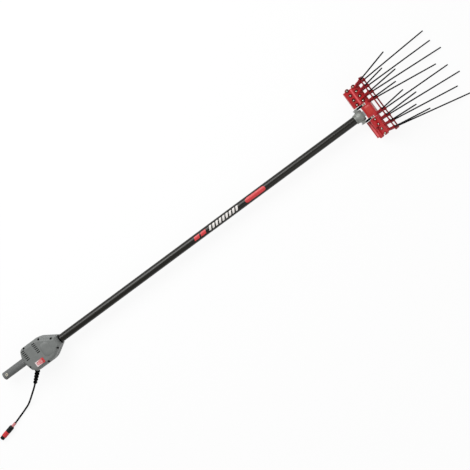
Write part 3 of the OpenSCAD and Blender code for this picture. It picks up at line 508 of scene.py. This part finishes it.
def faded(name, rear, front, span, rough):
    """Pale plastic that goes over to another colour along the tool, with a fine grain over both."""
    f = Finish(name)
    along = f.node("ShaderNodeSeparateXYZ")
    f.link(f.where, along.inputs["Vector"])
    tone = f.ramp(f.spread(along.outputs["X"], 0.0, 1.0, span), rear, front, (0.0, 1.0))
    fine = f.ramp(f.noise(600, 3), (0.82, 0.82, 0.82), (1.0, 1.0, 1.0))
    f.link(f.mix(f.spread(f.noise(80, 3), 0.3, 0.9), tone, fine, "MULTIPLY"), f.shader.inputs["Base Color"])
    f.link(f.spread(f.noise(150, 3), rough - 0.06, rough + 0.08), f.shader.inputs["Roughness"])
    f.bump(f.cells(1500), 0.0001)
    return f.material


FINISH = {}


def make_finishes():
    """Every finish of the object, by name."""
    c = colours()
    dark, pale = srgb(30, 30, 31), srgb(226, 222, 218)
    low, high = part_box("switch_bezel")
    bezel_span = (float(low[0]) + 10 * MM, float(high[0]) - 6 * MM)
    FINISH.update(
        housing=moulded("housing moulded grey", tuple(c.housing), 0.5, 1400, 0.00022, 0.13, dust=0.2),
        seam=moulded("seam dark grey", shade(tuple(c.housing), 0.55), 0.6, 1500, 0.0001),
        handle=moulded("handle moulded grey", tuple(c.handle), 0.55, 1300, 0.0002, 0.15, dust=0.15),
        comb=moulded("comb bright red", tuple(c.comb), 0.36, 1100, 0.00012, 0.14, coat=0.25),
        ring=moulded("ring dark red", tuple(c.ring), 0.4, 1100, 0.00012, 0.16, glint=0.3),
        panel=moulded("hub panel red", srgb(190, 44, 36), 0.4, 1100, 0.00012, 0.14, coat=0.2),
        # Painted shade: this very dark red stands in for the shade inside the comb's pockets, on their cups,
        # washers and screws
        lining=moulded("pocket lining", shade(tuple(c.ring), 0.3), 0.6, 1100, 0.00012, 0.16, glint=0.15),
        accent=moulded("accent red", tuple(c.accent), 0.42, 1500, 0.0001, 0.1, coat=0.15),
        bezel=faded("bezel pale to red", srgb(228, 212, 212), tuple(c.accent), bezel_span, 0.45),
        boot=moulded("boot pale red", srgb(198, 122, 124), 0.5, 1300, 0.00012, 0.16),
        rocker=moulded("rocker pale red", srgb(214, 126, 128), 0.42, 1500, 0.0001, 0.12, coat=0.15),
        mark=moulded("printed white", pale, 0.5, 1800, 0.00004, 0.05),
        pole=anodised("pole black", tuple(c.pole), 0.3),
        tine=fibre_rod("tine dark fibre", tuple(c.tine), 0.5),
        rubber=moulded("lead rubber", tuple(c.lead), 0.7, 1200, 0.00018, 0.3, glint=0.06),
        plug=moulded("plug black", shade(tuple(c.lead), 1.1), 0.45, 1500, 0.00012, 0.25, glint=0.3),
        block=moulded("block black", dark, 0.5, 1300, 0.00015, 0.25, glint=0.25),
        cast=cast_metal("cast alloy", tuple(c.cast), 0.48),
        zinc=metal("plated screw", srgb(226, 221, 204), 0.34, (6, 6, 6), 120, 0.00005, 0.1, 0.45),
        # Painted highlight: a pale red for the comb's spines that stands in for the light caught by their ridges
        spine=moulded("comb red with painted highlight", srgb(222, 88, 92), 0.4, 1100, 0.0001, 0.12, coat=0.2),
        steel=metal("turned steel", tuple(c.steel), 0.3, (1, 12, 12), 160, 0.00006),
        core=metal("core sheets", srgb(128, 128, 132), 0.45, (60, 1, 1), 40, 0.0001),
        magnet=moulded("magnet black", srgb(48, 48, 50), 0.6, 900, 0.0002, 0.2),
        copper=metal("copper", srgb(196, 128, 92), 0.35, (1, 8, 8), 200, 0.00005),
        brass=metal("contact brass", srgb(206, 170, 96), 0.3, (8, 8, 1), 200, 0.00004),
        bush=moulded("bush natural", pale, 0.5, 1200, 0.0001, 0.06),
        screen=moulded("vent screen", srgb(30, 31, 31), 0.7, 900, 0.0003, 0.3, glint=0.2),
    )


NODE_FINISH = {
    "housing_grey": "housing", "handle_grey": "handle", "pole_black": "pole", "tine_black": "tine",
    "comb_red": "comb", "ring_red": "ring", "plug_red": "accent", "switch_red": "accent",
    "bezel_pale": "bezel", "cast_grey": "cast", "steel": "steel", "core_steel": "core",
    "magnet_black": "magnet", "copper": "copper", "brass": "brass", "bush_white": "bush",
    "block_black": "block", "rubber_black": "rubber", "plug_black": "plug",
}
# The comb's screws take the painted pocket shade
OWN_FINISH = {"cable_boot": "boot", "switch_rocker": "rocker", "comb_screws": "lining"}


# Operators


def axes_matrix(x, y, z, spot):
    """Matrix that turns an object's axes to x, y and z and puts it at spot."""
    return Matrix([[x[i], y[i], z[i], spot[i]] for i in range(3)] + [[0, 0, 0, 1]])


class HARVESTER_OT_stage(bpy.types.Operator):
    """Camera at the photograph's angle, white floor, and soft light from the upper left"""

    bl_idname = "harvester.stage"
    bl_label = "Stage"

    def execute(self, context):
        scene = context.scene
        scene.view_settings.view_transform = "Standard"
        right, up, back = self.camera(scene)
        self.lamp(scene, "key", -1.15 * right + 0.8 * up + 1.5 * back, far=3.6, size=2.4, power=106)
        self.lamp(scene, "fill", 1.2 * right - 0.7 * up + 1.4 * back, far=4.0, size=3.2, power=24)
        self.world(scene, 0.42)
        self.floor(scene)
        return {"FINISHED"}

    def camera(self, scene):
        """Sets the camera, and returns its axes: right, up, and back towards the viewer."""
        back = np.array([math.sin(TILT_X), math.sin(TILT_Y), 0.0])
        back[2] = math.sqrt(1 - back @ back)
        level = np.array([1.0, 0.0, 0.0]) - back[0] * back
        level /= np.linalg.norm(level)
        rise = np.cross(back, level)
        right = math.cos(ROLL) * level - math.sin(ROLL) * rise
        up = math.sin(ROLL) * level + math.cos(ROLL) * rise
        camera = bpy.data.objects.new("camera", bpy.data.cameras.new("camera"))
        camera.data.sensor_fit = "HORIZONTAL"
        camera.data.sensor_width = SENSOR_W
        camera.data.lens = SENSOR_W * (DISTANCE / METRES_PER_PIXEL) / PICTURE_W
        camera.data.clip_end = 50
        camera.matrix_world = axes_matrix(right, up, back, LOOK_AT + back * DISTANCE)
        scene.collection.objects.link(camera)
        scene.camera = camera
        return right, up, back

    def lamp(self, scene, name, way, far, size, power):
        """Square area lamp, at a distance along way from the point that the camera looks at."""
        data = bpy.data.lights.new(name, "AREA")
        data.size = size
        data.energy = power
        obj = bpy.data.objects.new(name, data)
        a, b, d = axes_about(way)
        obj.matrix_world = axes_matrix(a, b, d, LOOK_AT + d * far)
        scene.collection.objects.link(obj)

    def world(self, scene, strength):
        """Even white light from all round."""
        world = bpy.data.worlds.new("studio")
        world.use_nodes = True
        background = world.node_tree.nodes["Background"]
        background.inputs["Color"].default_value = (1, 1, 1, 1)
        background.inputs["Strength"].default_value = strength
        scene.world = world

    def floor(self, scene):
        """Wide plane just below the housing."""
        half, z = 12.0, FLOOR_Z - 0.4 * MM
        data = bpy.data.meshes.new("floor")
        corners = [(-half, -half, z), (half, -half, z), (half, half, z), (-half, half, z)]
        data.from_pydata(corners, [], [(0, 1, 2, 3)])
        data.materials.append(self.floor_finish(0.9))
        obj = bpy.data.objects.new("floor", data)
        scene.collection.objects.link(obj)

    def floor_finish(self, plain):
        """White paper, a share of it plain white where it is seen, the rest shaded by the object's shadow."""
        f = Finish("floor white")
        f.set(Base_Color=(0.9, 0.9, 0.9, 1), Roughness=0.9)
        path = f.node("ShaderNodeLightPath")
        seen = path.outputs["Is Camera Ray"]
        for ray in ("Is Glossy Ray", "Is Transmission Ray"):
            either = f.node("ShaderNodeMath", operation="MAXIMUM")
            f.link(seen, either.inputs[0])
            f.link(path.outputs[ray], either.inputs[1])
            seen = either.outputs[0]
        share = f.node("ShaderNodeMath", operation="MULTIPLY")
        share.inputs[1].default_value = plain
        f.link(seen, share.inputs[0])
        glow = f.node("ShaderNodeEmission")
        blend = f.node("ShaderNodeMixShader")
        f.link(share.outputs[0], blend.inputs["Fac"])
        f.link(f.shader.outputs[0], blend.inputs[1])
        f.link(glow.outputs[0], blend.inputs[2])
        out = next(n for n in f.tree.nodes if n.type == "OUTPUT_MATERIAL")
        f.link(blend.outputs[0], out.inputs["Surface"])
        return f.material


class HARVESTER_OT_lead(bpy.types.Operator):
    """Round rubber lead from the strain relief, down to the floor and along it to the plug"""

    bl_idname = "harvester.lead"
    bl_label = "Lead"

    def execute(self, context):
        route = np.array(LEAD_ROUTE_MM) * MM + np.array([0, POLE_Y, 0])
        line = smooth_route(np.concatenate([RELIEF_TIP[None], route]), 8)
        lead = piece(
            "lead", sweep(line, ring_section(LEAD_D / 2, 28)), FINISH["rubber"], "tool",
            ("power_cable",),
        )
        return {"FINISHED"}


class HARVESTER_OT_finishes(bpy.types.Operator):
    """Procedural finish for every solid of the frame"""

    bl_idname = "harvester.finishes"
    bl_label = "Finishes"

    def execute(self, context):
        make_finishes()
        slots = {s["node"]: s["material_slot"] for s in frame["record"]["subparts"]}
        for name, obj in NODES.items():
            obj.data.materials.clear()
            obj.data.materials.append(FINISH[OWN_FINISH.get(name, NODE_FINISH[slots[name]])])
        return {"FINISHED"}


class HARVESTER_OT_handle(bpy.types.Operator):
    """Fluted handle tube with a smooth band at each end, and the eyelets of its lanyard hole"""

    bl_idname = "harvester.handle"
    bl_label = "Handle"

    def execute(self, context):
        low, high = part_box("handle_grip")
        r = (high[2] - low[2]) / 2
        start = float(low[0])
        length = REAR_X - 2 * MM - start
        deep = sizes().flute_deep
        flutes, fade_l, rear_band, front_band = 20, 6 * MM, 10 * MM, 8 * MM

        def flute(angle, x):
            """Grooves along the tube, fading out before the bands."""
            fade = np.clip(np.minimum(x - rear_band, length - front_band - x) / fade_l, 0, 1)
            return -deep * fade * (0.5 - 0.5 * np.cos(flutes * angle)) ** 2

        x = np.linspace(0, length, 60)
        inner, tenon_r, tenon_end = r - 3 * MM, r - 0.5 * MM, length + 19 * MM
        body = np.stack([np.full_like(x, r), x], 1)
        body[[0, -1], 0] = r - 0.6 * MM
        profile = np.concatenate([
            [[inner, tenon_end], [inner, 0]], body,
            [[tenon_r, length], [tenon_r, tenon_end], [inner, tenon_end]],
        ])
        piece(
            "handle_sleeve", revolve(profile, (start, 0, 0), (1, 0, 0), 240, flute), FINISH["handle"],
            "tool", ("handle_grip",),
        )
        self.eyelets()
        return {"FINISHED"}

    def eyelets(self):
        """Rolled metal ring round each mouth of the lanyard hole: a quarter round lip over a short tube."""
        hole = 2.5 * MM
        t = np.linspace(0, np.pi, 16)
        lip = np.stack([hole + 1.6 * MM - 1.4 * MM * np.cos(t), 0.9 * MM * np.sin(t)], 1)
        profile = np.concatenate([[[hole + 0.2 * MM, -3 * MM]], lip, [[hole + 3 * MM, -1.2 * MM]],
                                  [[hole + 1.2 * MM, -3 * MM], [hole + 0.2 * MM, -3 * MM]]])
        r = float(CAP_BOX[1][2])
        mesh = join(*(revolve(profile, (LANYARD_X, 0, k * r), (0, 0, k), 48) for k in (1, -1)))
        piece("lanyard_eyelets", mesh, FINISH["zinc"], "tool")


def bow(centre, r, a0, a1, n):
    """Points of an arc between two angles in degrees."""
    a = np.radians(np.linspace(a0, a1, n))
    return np.stack([centre[0] + r * np.cos(a), centre[1] + r * np.sin(a)], 1)


def plan_line():
    """Outline of the housing seen from above: its left side to the nose, and the nose to the cut corner."""
    tip, nose_x = POLE_R + 3 * MM, NOSE_X - 3 * MM
    left = np.concatenate([
        [[REAR_X + 2.2 * MM, 34 * MM]],
        bow((REAR_X + REAR_BOW + CORNER_R, HALF_W + SHIFT - CORNER_R), CORNER_R, 165, 90, 16),
        bow((ROUND_X - 4 * SHIFT, 0), HALF_W + SHIFT, 90, 52, 20),
    ])
    left = np.concatenate([left, np.linspace(left[-1], [nose_x, tip + 1.9 * MM], 8)[1:]])
    right = bow((ROUND_X - SHIFT, 0), HALF_W - SHIFT, -57, -90, 20)
    right = np.concatenate([
        np.linspace([nose_x, -tip - 1.8 * MM], right[0], 8)[:-1], right,
        np.linspace(right[-1], [REAR_X + CORNER_CUT + 3 * MM, SHIFT - HALF_W], 8)[1:],
    ])
    return [np.column_stack([p[:, 0], p[:, 1] + POLE_Y, np.zeros(len(p))]) for p in (left, right)]


class HARVESTER_OT_housing_trim(bpy.types.Operator):
    """Seam bead, raised crown panel, vent slats and screens, nose seal and screw heads"""

    bl_idname = "harvester.housing_trim"
    bl_label = "Housing trim"

    def execute(self, context):
        self.seam()
        self.crown()
        self.vents()
        self.nose()
        self.screws()
        return {"FINISHED"}

    def seam(self):
        """Oval bead along the split of the two shells, half sunk in them."""
        high = sizes().seam_high
        t = np.linspace(0, TAU, 16, endpoint=False)
        section = np.stack([high * np.cos(t), 1.3 * MM * np.sin(t)], 1)
        left, right = plan_line()
        mesh = join(sweep(left, section), sweep(right, section))
        piece("housing_seam", mesh, FINISH["seam"], "tool")

    def crown(self):
        """Low panel in front of the switch."""
        panel = dome(22 * MM, 30 * MM, sizes().crown_high, 3, (14, 12), 96)
        panel = panel + np.array([REAR_X + 112 * MM, POLE_Y, TOP_Z])
        piece("crown_panel", grids(panel[None], wrap_cols=True), FINISH["housing"], "tool")

    def vents(self):
        """Leaning slats in each slot, over a dark screen below the shell."""
        slot_w, pitch, first_y, gap = 3.8 * MM, 8 * MM, 7 * MM, 0.1 * MM
        slat_z, screen_z, screen_t = TOP_Z - 1.5 * MM, TOP_Z - 4.2 * MM, 0.6 * MM
        lean = math.radians(38)
        across = 1.5 * MM * np.array([math.cos(lean), math.sin(lean)])
        through = 0.45 * MM * np.array([-math.sin(lean), math.cos(lean)])
        corner = np.stack([across + through, through - across, -across - through, across - through])
        slats, screens = [], []
        for start, length, count in VENTS:
            y = POLE_Y + first_y + np.arange(count) * pitch + slot_w / 2
            x0, x1 = REAR_X + start + gap, REAR_X + start + length - gap
            points = np.zeros((count, 4, 4, 3))
            for row, (x, k) in enumerate(((x0, 0), (x0, 1), (x1, 1), (x1, 0))):
                points[:, row, :, 0] = x
                points[:, row, :, 1] = y[:, None] + k * corner[None, :, 0]
                points[:, row, :, 2] = slat_z + k * corner[None, :, 1]
            slats.append(grids(points, wrap_cols=True))
            u, v = np.meshgrid(np.linspace(x0 - 2 * MM, x1 + 2 * MM, 12),
                               np.linspace(y[0] - 3 * MM, y[-1] + 3 * MM, 24), indexing="ij")
            sheet = np.stack([u, v, np.full_like(u, screen_z)], -1)
            screens.append(slab(sheet, sheet - np.array([0, 0, screen_t])))
        piece("vent_slats", join(*slats), FINISH["screen"], "tool")
        piece("vent_screens", join(*screens), FINISH["screen"], "tool")

    def nose(self):
        """Soft seal of two beads where the pole enters the nose."""
        h = np.linspace(0, 5 * MM, 40)
        r = POLE_R + 1.2 * MM + 0.7 * MM * np.abs(np.sin(np.pi * h / (2.5 * MM))) ** 0.6
        mesh = revolve(cuff(POLE_R + 0.15 * MM, r, h), (NOSE_X, POLE_Y, 0), (1, 0, 0))
        piece("nose_seal", mesh, FINISH["rubber"], "tool")

    def screws(self):
        """Domed heads with a cross recess: the dome falls as rho^2, the cross is cut along both diameters."""
        seat_z, grip_z = 22.6 * MM, 16.6 * MM
        side_y = HALF_W + SHIFT - 6 * MM
        nose_x, nose_y = BODY_L + 0.82 * HALF_W, 0.41 * HALF_W
        at = np.array([
            (0.3375 * BODY_L, side_y), (BODY_L + 3 * MM, side_y - 5.5 * MM),
            (nose_x, nose_y), (nose_x, -nose_y),
            (BODY_L - 16 * MM, 2 * SHIFT - side_y), (12 * MM, -21.5 * MM),
        ]) + np.array([REAR_X, POLE_Y])
        foot = np.column_stack([at, np.full(len(at), seat_z)])
        up = np.tile([0.0, 0.0, 1.0], (len(at), 1))
        grip = np.array([[REAR_X - 12 * MM, 0.0, grip_z]])
        mesh = join(
            crossed_heads(foot, up, 3.6 * MM, 0.9 * MM), crossed_heads(grip, up[:1], 3.5 * MM, 0.3 * MM)
        )
        piece("housing_screw_heads", mesh, FINISH["steel"], "tool")


def crossed_heads(feet, ups, r, high):
    """Screw heads with a cross recess, one for each foot and up direction."""
    rho = np.concatenate([np.linspace(0, 0.97, 14), [1.0, 1.0, 0.0]])[:, None]
    t = np.linspace(0, TAU, 48, endpoint=False)[None]
    u, v = rho * np.cos(t), rho * np.sin(t)
    cross = (np.minimum(np.abs(u), np.abs(v)) < 0.13) & (rho < 0.66)
    z = high * (1 - 0.75 * rho**2) - 0.5 * high * cross
    z[-2:] = 0
    heads = []
    for foot, up in zip(feet, ups):
        a, b, d = axes_about(up)
        heads.append(foot + r * (u[..., None] * a + v[..., None] * b) + z[..., None] * d)
    return grids(np.array(heads), wrap_cols=True)


class HARVESTER_OT_switch_marks(bpy.types.Operator):
    """Raised bar and ring on the two faces of the rocker"""

    bl_idname = "harvester.switch_marks"
    bl_label = "Switch marks"

    def execute(self, context):
        tilt = math.radians(8)
        half = 13.5 * MM
        rise = half * math.tan(tilt)

        def on_face(p, end):
            """Local marks, laid on one sloping face of the tilted rocker."""
            x = end * 8 * MM + p[..., 0]
            z = 5 * MM - rise / 2 + np.abs(x) / half * rise + p[..., 2]
            c, s = math.cos(tilt), math.sin(tilt)
            return np.stack([c * x - s * z, p[..., 1], s * x + c * z], -1) + ROCKER

        lift = 0.5 * MM
        t = np.linspace(0, TAU, 40, endpoint=False)
        q = np.linspace(0, TAU, 12, endpoint=False)
        tube = 0.55 * MM
        big = 2.6 * MM
        ring = np.stack([
            (big + tube * np.cos(q)[None]) * np.cos(t)[:, None],
            (big + tube * np.cos(q)[None]) * np.sin(t)[:, None],
            lift * np.sin(q)[None] + 0 * t[:, None],
        ], -1)
        ring_mesh = grids(on_face(ring, -1)[None], wrap_rows=True, wrap_cols=True)
        line = np.stack([np.zeros(12), np.linspace(-3, 3, 12) * MM, np.zeros(12)], 1)
        bar_points, bar_quads = sweep(line, ring_section(1.0, 12) * np.array([[0.6 * MM, lift]]))
        bar_mesh = (on_face(bar_points, 1), bar_quads)
        piece("switch_marks", join(ring_mesh, bar_mesh), FINISH["mark"], "switch")
        return {"FINISHED"}


class HARVESTER_OT_pole_marks(bpy.types.Operator):
    """Plain printed bars wrapped on the upper side of the pole: white and red ones, and a long round one"""

    bl_idname = "harvester.pole_marks"
    bl_label = "Pole marks"

    def execute(self, context):
        lift = sizes().mark_lift

        def patch(x0, x1, wrap, slant=0.0, round_ends=False):
            """Strip of the pole's surface from x0 to x1, wrapped to both sides of its top."""
            u = np.linspace(0, 1, 48)[:, None]
            v = np.linspace(-1, 1, 17)[None]
            ends = np.sqrt(np.clip(1 - v**2, 0, 1)) if round_ends else np.ones_like(v)
            reach = wrap * POLE_R if round_ends else 0.0
            mid, half = (x0 + x1) / 2, (x1 - x0) / 2 - reach
            x = mid + (2 * u - 1) * (half + reach * ends) + slant * v
            a = wrap * v + 0 * u
            return slab(*(
                np.stack([x, POLE_Y + r * np.sin(a), r * np.cos(a)], -1)
                for r in (POLE_R + lift, POLE_R + 0.02 * MM)
            ))

        white_x, red_x = 0.988 + 0.0168 * np.arange(9), (0.913, 0.945)
        white = [patch(x, x + 10 * MM, 0.55, 5 * MM) for x in white_x]
        red = [patch(x, x + 25 * MM, 0.5, 3 * MM) for x in red_x]
        red.append(patch(1.171, 1.27, 0.62, round_ends=True))
        piece("pole_bars_white", join(*white), FINISH["mark"], "tool")
        piece("pole_bars_red", join(*red), FINISH["accent"], "tool")
        return {"FINISHED"}


class HARVESTER_OT_head_trim(bpy.types.Operator):
    """Bead round the gear head's collar, heads on its bolts, and straps and boots on its bearings"""

    bl_idname = "harvester.head_trim"
    bl_label = "Head trim"

    def execute(self, context):
        bead = 5 * MM
        h = np.linspace(0, bead, 24)
        r = POLE_R + 2.5 * MM + 1.1 * MM * np.sin(np.pi * h / bead) ** 0.7
        mesh = revolve(cuff(POLE_R + 2.4 * MM, r, h), (POLE_END + 1 * MM, POLE_Y, 0), (1, 0, 0))
        piece("collar_bead", mesh, FINISH["cast"], "tool")
        bolt_x, bolt_z = POLE_END + 13 * MM, 7 * MM
        feet = np.array([[bolt_x, POLE_Y + y, z] for y in (-EAR_Y, EAR_Y) for z in (-bolt_z, bolt_z)])
        back = np.tile([-1.0, 0.0, 0.0], (4, 1))
        bolts = crossed_heads(feet, back, 3.2 * MM, 0.9 * MM)
        piece("head_bolt_heads", bolts, FINISH["steel"], "tool")
        self.straps()
        self.boots()
        return {"FINISHED"}

    def boots(self):
        """Rubber sleeve round each ear: |y/b|^4 + |z/c|^4 = 1 along the tool, drawn in towards both ends."""
        u = np.linspace(0, 1, 24)[:, None]
        t = np.linspace(0, TAU, 48, endpoint=False)[None]
        edge = (np.cos(t) ** 4 + np.sin(t) ** 4) ** -0.25
        size = 0.9 + 0.1 * np.sqrt(1 - (2 * u - 1) ** 8)
        boots = []
        for y in (EAR_Y, -EAR_Y):
            boots.append(capped(np.stack([
                POLE_END + (30 + 21 * u) * MM + 0 * t,
                POLE_Y + y + 4.3 * MM * size * edge * np.cos(t),
                14.6 * MM * size * edge * np.sin(t),
            ], -1)))
        mesh = grids(np.array(boots), wrap_cols=True)
        piece("bearing_boots", mesh, FINISH["rubber"], "tool")

    def straps(self):
        """Bright strap round each bearing: flat over the block, then the arc x = r cos a, z = r sin a."""
        a = np.radians(np.linspace(62, -62, 28))
        r = 11.2 * MM
        bend = np.stack([r * np.cos(a), r * np.sin(a)], 1)
        flat = np.linspace([-1.5, 13.5], [1.5, 13.5], 8) * MM
        line = np.concatenate([flat, bend, flat[::-1] * np.array([1, -1])])
        section = np.array([[-0.4, -4.2], [0.4, -4.2], [0.4, 4.2], [-0.4, 4.2]]) * MM
        straps = []
        for y in (EAR_Y, -EAR_Y):
            path = np.column_stack([line[:, 0], np.full(len(line), y), line[:, 1]]) + PIVOT
            straps.append(sweep(path, section, (0, 1, 0)))
        piece("bearing_straps", join(*straps), FINISH["zinc"], "tool")


def pocket_rings(r, n):
    """A ring round every pocket of the comb: the closed section of radii r and heights n, turned about it."""
    t = np.linspace(0, TAU, 48, endpoint=False)[:, None]
    rings = [plate_to_row(s + r * np.cos(t), w + r * np.sin(t), n + 0 * t, half) for half, s, w in POCKETS]
    return grids(np.array(rings), True, True)


class HARVESTER_OT_comb_trim(bpy.types.Operator):
    """Pocket rims and cups painted with shade, screw heads, nuts on washers painted with shade, spines painted
    with a highlight, sleeve covers, tine coats and hub panels
    """

    bl_idname = "harvester.comb_trim"
    bl_label = "Comb trim"

    def execute(self, context):
        self.rims()
        self.heads()
        self.nuts()
        self.spines()
        self.collars()
        self.coats()
        self.hub_panels()
        return {"FINISHED"}

    def rims(self):
        """Low torus round each pocket, half sunk in the plate's face, over a dark cup of stepped profile: the
        cup's dark red is painted shade for the pocket's hollow.
        """
        q = np.linspace(0, TAU, 12, endpoint=False)
        rims = pocket_rings(7.3 * MM + 1.0 * MM * np.cos(q), PLATE_HALF + sizes().rim_high * np.sin(q))
        piece("comb_pocket_rims", rims, FINISH["ring"], "comb")
        cup = np.array([[4.15, 1.1], [6.15, 1.1], [6.15, 6.8], [5.7, 6.8], [5.7, 1.5], [4.15, 1.5]]) * MM
        # The dark cups are painted shade in the pockets' hollows
        piece("comb_pocket_shade_cups", pocket_rings(*cup.T), FINISH["lining"], "comb")

    def heads(self):
        """Crossed heads in the pockets."""
        feet = [plate_to_row(s, w, 4.5 * MM, half) for half, s, w in POCKETS]
        ups = [plate_to_row(s, w, 5.5 * MM, half) - foot for (half, s, w), foot in zip(POCKETS, feet)]
        piece("comb_screw_heads", crossed_heads(feet, ups, 3 * MM, 1.2 * MM), FINISH["zinc"], "comb")

    def nuts(self):
        """Domed nuts on turned washers, on the far face of the front row; the washers' dark red is painted shade,
        as in the pockets.
        """
        washer = np.array([[0, 0.05], [6.3, 0.05], [6.3, 0.6], [5.8, 1.0], [0, 1.0]]) * MM
        feet, ups, washers = [], [], []
        for half in (1, -1):
            for w in POCKET_W:
                face = plate_to_row(POCKET_S[0], w, -PLATE_HALF, half)
                way = (plate_to_row(POCKET_S[0], w, -2 * PLATE_HALF, half) - face) / PLATE_HALF
                washers.append(revolve(washer, face, way, 40))
                feet.append(face + 1.0 * MM * way)
                ups.append(way)
        # The dark washers are painted shade round the nuts
        piece("comb_shade_washers", join(*washers), FINISH["lining"], "comb")
        piece("comb_nut_domes", crossed_heads(feet, ups, 3.2 * MM, 2.2 * MM), FINISH["zinc"], "comb")

    def coats(self):
        """Coat on every tine: radius r - taper u^6 + ripple cos(2 pi h / pitch), u from ring to tip."""
        rod, coat, taper, ripple, pitch = 2.5 * MM, 2.88 * MM, 0.25 * MM, 0.07 * MM, 9 * MM
        start, bare_tip = SLEEVE_END + RING_BOSS_L + 0.3 * MM, 5 * MM
        u = np.linspace(0, 1, 140)
        coats = []
        for side, step, row in TINES:
            foot, way = tine_line(side, step, row)
            reach = REACH[row][3 - step if side > 0 else 4 + step]
            h = (reach - bare_tip - start) * u
            r = coat - taper * u**6 + ripple * np.cos(TAU * h / pitch)
            coats.append(revolve(cuff(rod + 0.02 * MM, r, h), foot + way * start, way, 16))
        piece("tine_coats", join(*coats), FINISH["tine"], "comb")

    def hub_panels(self):
        """Raised panel on both faces of the hub."""
        panel = dome(15 * MM, 20 * MM, 1.8 * MM, 4, (10, 10), 72) + np.array([14, 0, 13]) * MM
        both = np.array([comb_to_row(panel * np.array([1, 1, k])) for k in (1, -1)])
        piece("hub_panels", grids(both, wrap_cols=True), FINISH["panel"], "comb")

    def spines(self):
        """Elliptic bars across each plate: between its rows of pockets, and at the rear of its far face. Their
        pale red is a painted highlight.
        """
        high = sizes().spine_high
        w = np.linspace(38.5 * MM, 111 * MM, 40)
        end = np.sqrt(np.clip(1 - np.linspace(-1, 1, 40) ** 16, 0, 1))[:, None]
        t = np.linspace(0, TAU, 32, endpoint=False)[None]
        bars = [
            plate_to_row(at * MM + 4.2 * MM * np.cos(t) * end, w[:, None] + 0 * t,
                         face * PLATE_HALF + high * np.sin(t) * end, half)
            for half in (1, -1) for at, face in ((-13.5, 1), (-36, -1))
        ]
        # The spines' pale red is a painted highlight
        piece("comb_spines", grids(np.array(bars), wrap_cols=True), FINISH["spine"], "comb")

    def collars(self):
        """Dark cover on the front of every sleeve, turned with a bead at each end and two grooves."""
        cover = 25 * MM
        h = np.linspace(0, cover, 60)

        def hump(at, wide):
            return np.exp(-((h / cover - at) / wide) ** 2)

        swell = 0.35 * MM + 0.8 * MM * (hump(0.06, 0.05) + hump(0.93, 0.06))
        swell -= 0.25 * MM * (hump(0.35, 0.03) + hump(0.62, 0.03))
        rings = []
        for side, step, row in TINES:
            foot, way = tine_line(side, step, row)
            r = (5.2 if row > 0 else 4.9) * MM
            profile = cuff(r - 0.6 * MM, r + swell, h)
            rings.append(revolve(profile, foot + way * (SLEEVE_END - cover - 0.5 * MM), way, 40))
        piece("sleeve_covers", join(*rings), FINISH["ring"], "comb")


class HARVESTER_PT_panel(bpy.types.Panel):
    """Lists the steps that dress the harvester"""

    bl_idname = "HARVESTER_PT_panel"
    bl_label = "Olive harvester"
    bl_space_type = "VIEW_3D"
    bl_region_type = "UI"
    bl_category = "Harvester"

    def draw(self, context):
        for operator in OPERATORS:
            self.layout.operator(operator.bl_idname)
        for group in (sizes(), colours()):
            for name in group.__annotations__:
                self.layout.prop(group, name)


OPERATORS = (
    HARVESTER_OT_stage, HARVESTER_OT_finishes, HARVESTER_OT_lead, HARVESTER_OT_handle,
    HARVESTER_OT_housing_trim, HARVESTER_OT_switch_marks, HARVESTER_OT_pole_marks,
    HARVESTER_OT_head_trim, HARVESTER_OT_comb_trim,
)
CLASSES = (HarvesterSizes, HarvesterColours, *OPERATORS, HARVESTER_PT_panel)


def register():
    for cls in CLASSES:
        bpy.utils.register_class(cls)
    bpy.types.Scene.harvester_sizes = bpy.props.PointerProperty(type=HarvesterSizes)
    bpy.types.Scene.harvester_colours = bpy.props.PointerProperty(type=HarvesterColours)


def unregister():
    del bpy.types.Scene.harvester_colours
    del bpy.types.Scene.harvester_sizes
    for cls in reversed(CLASSES):
        bpy.utils.unregister_class(cls)


def main():
    register()
    bpy.ops.harvester.stage()
    bpy.ops.harvester.finishes()
    bpy.ops.harvester.lead()
    bpy.ops.harvester.handle()
    bpy.ops.harvester.housing_trim()
    bpy.ops.harvester.switch_marks()
    bpy.ops.harvester.pole_marks()
    bpy.ops.harvester.head_trim()
    bpy.ops.harvester.comb_trim()


if __name__ == "__main__":
    main()
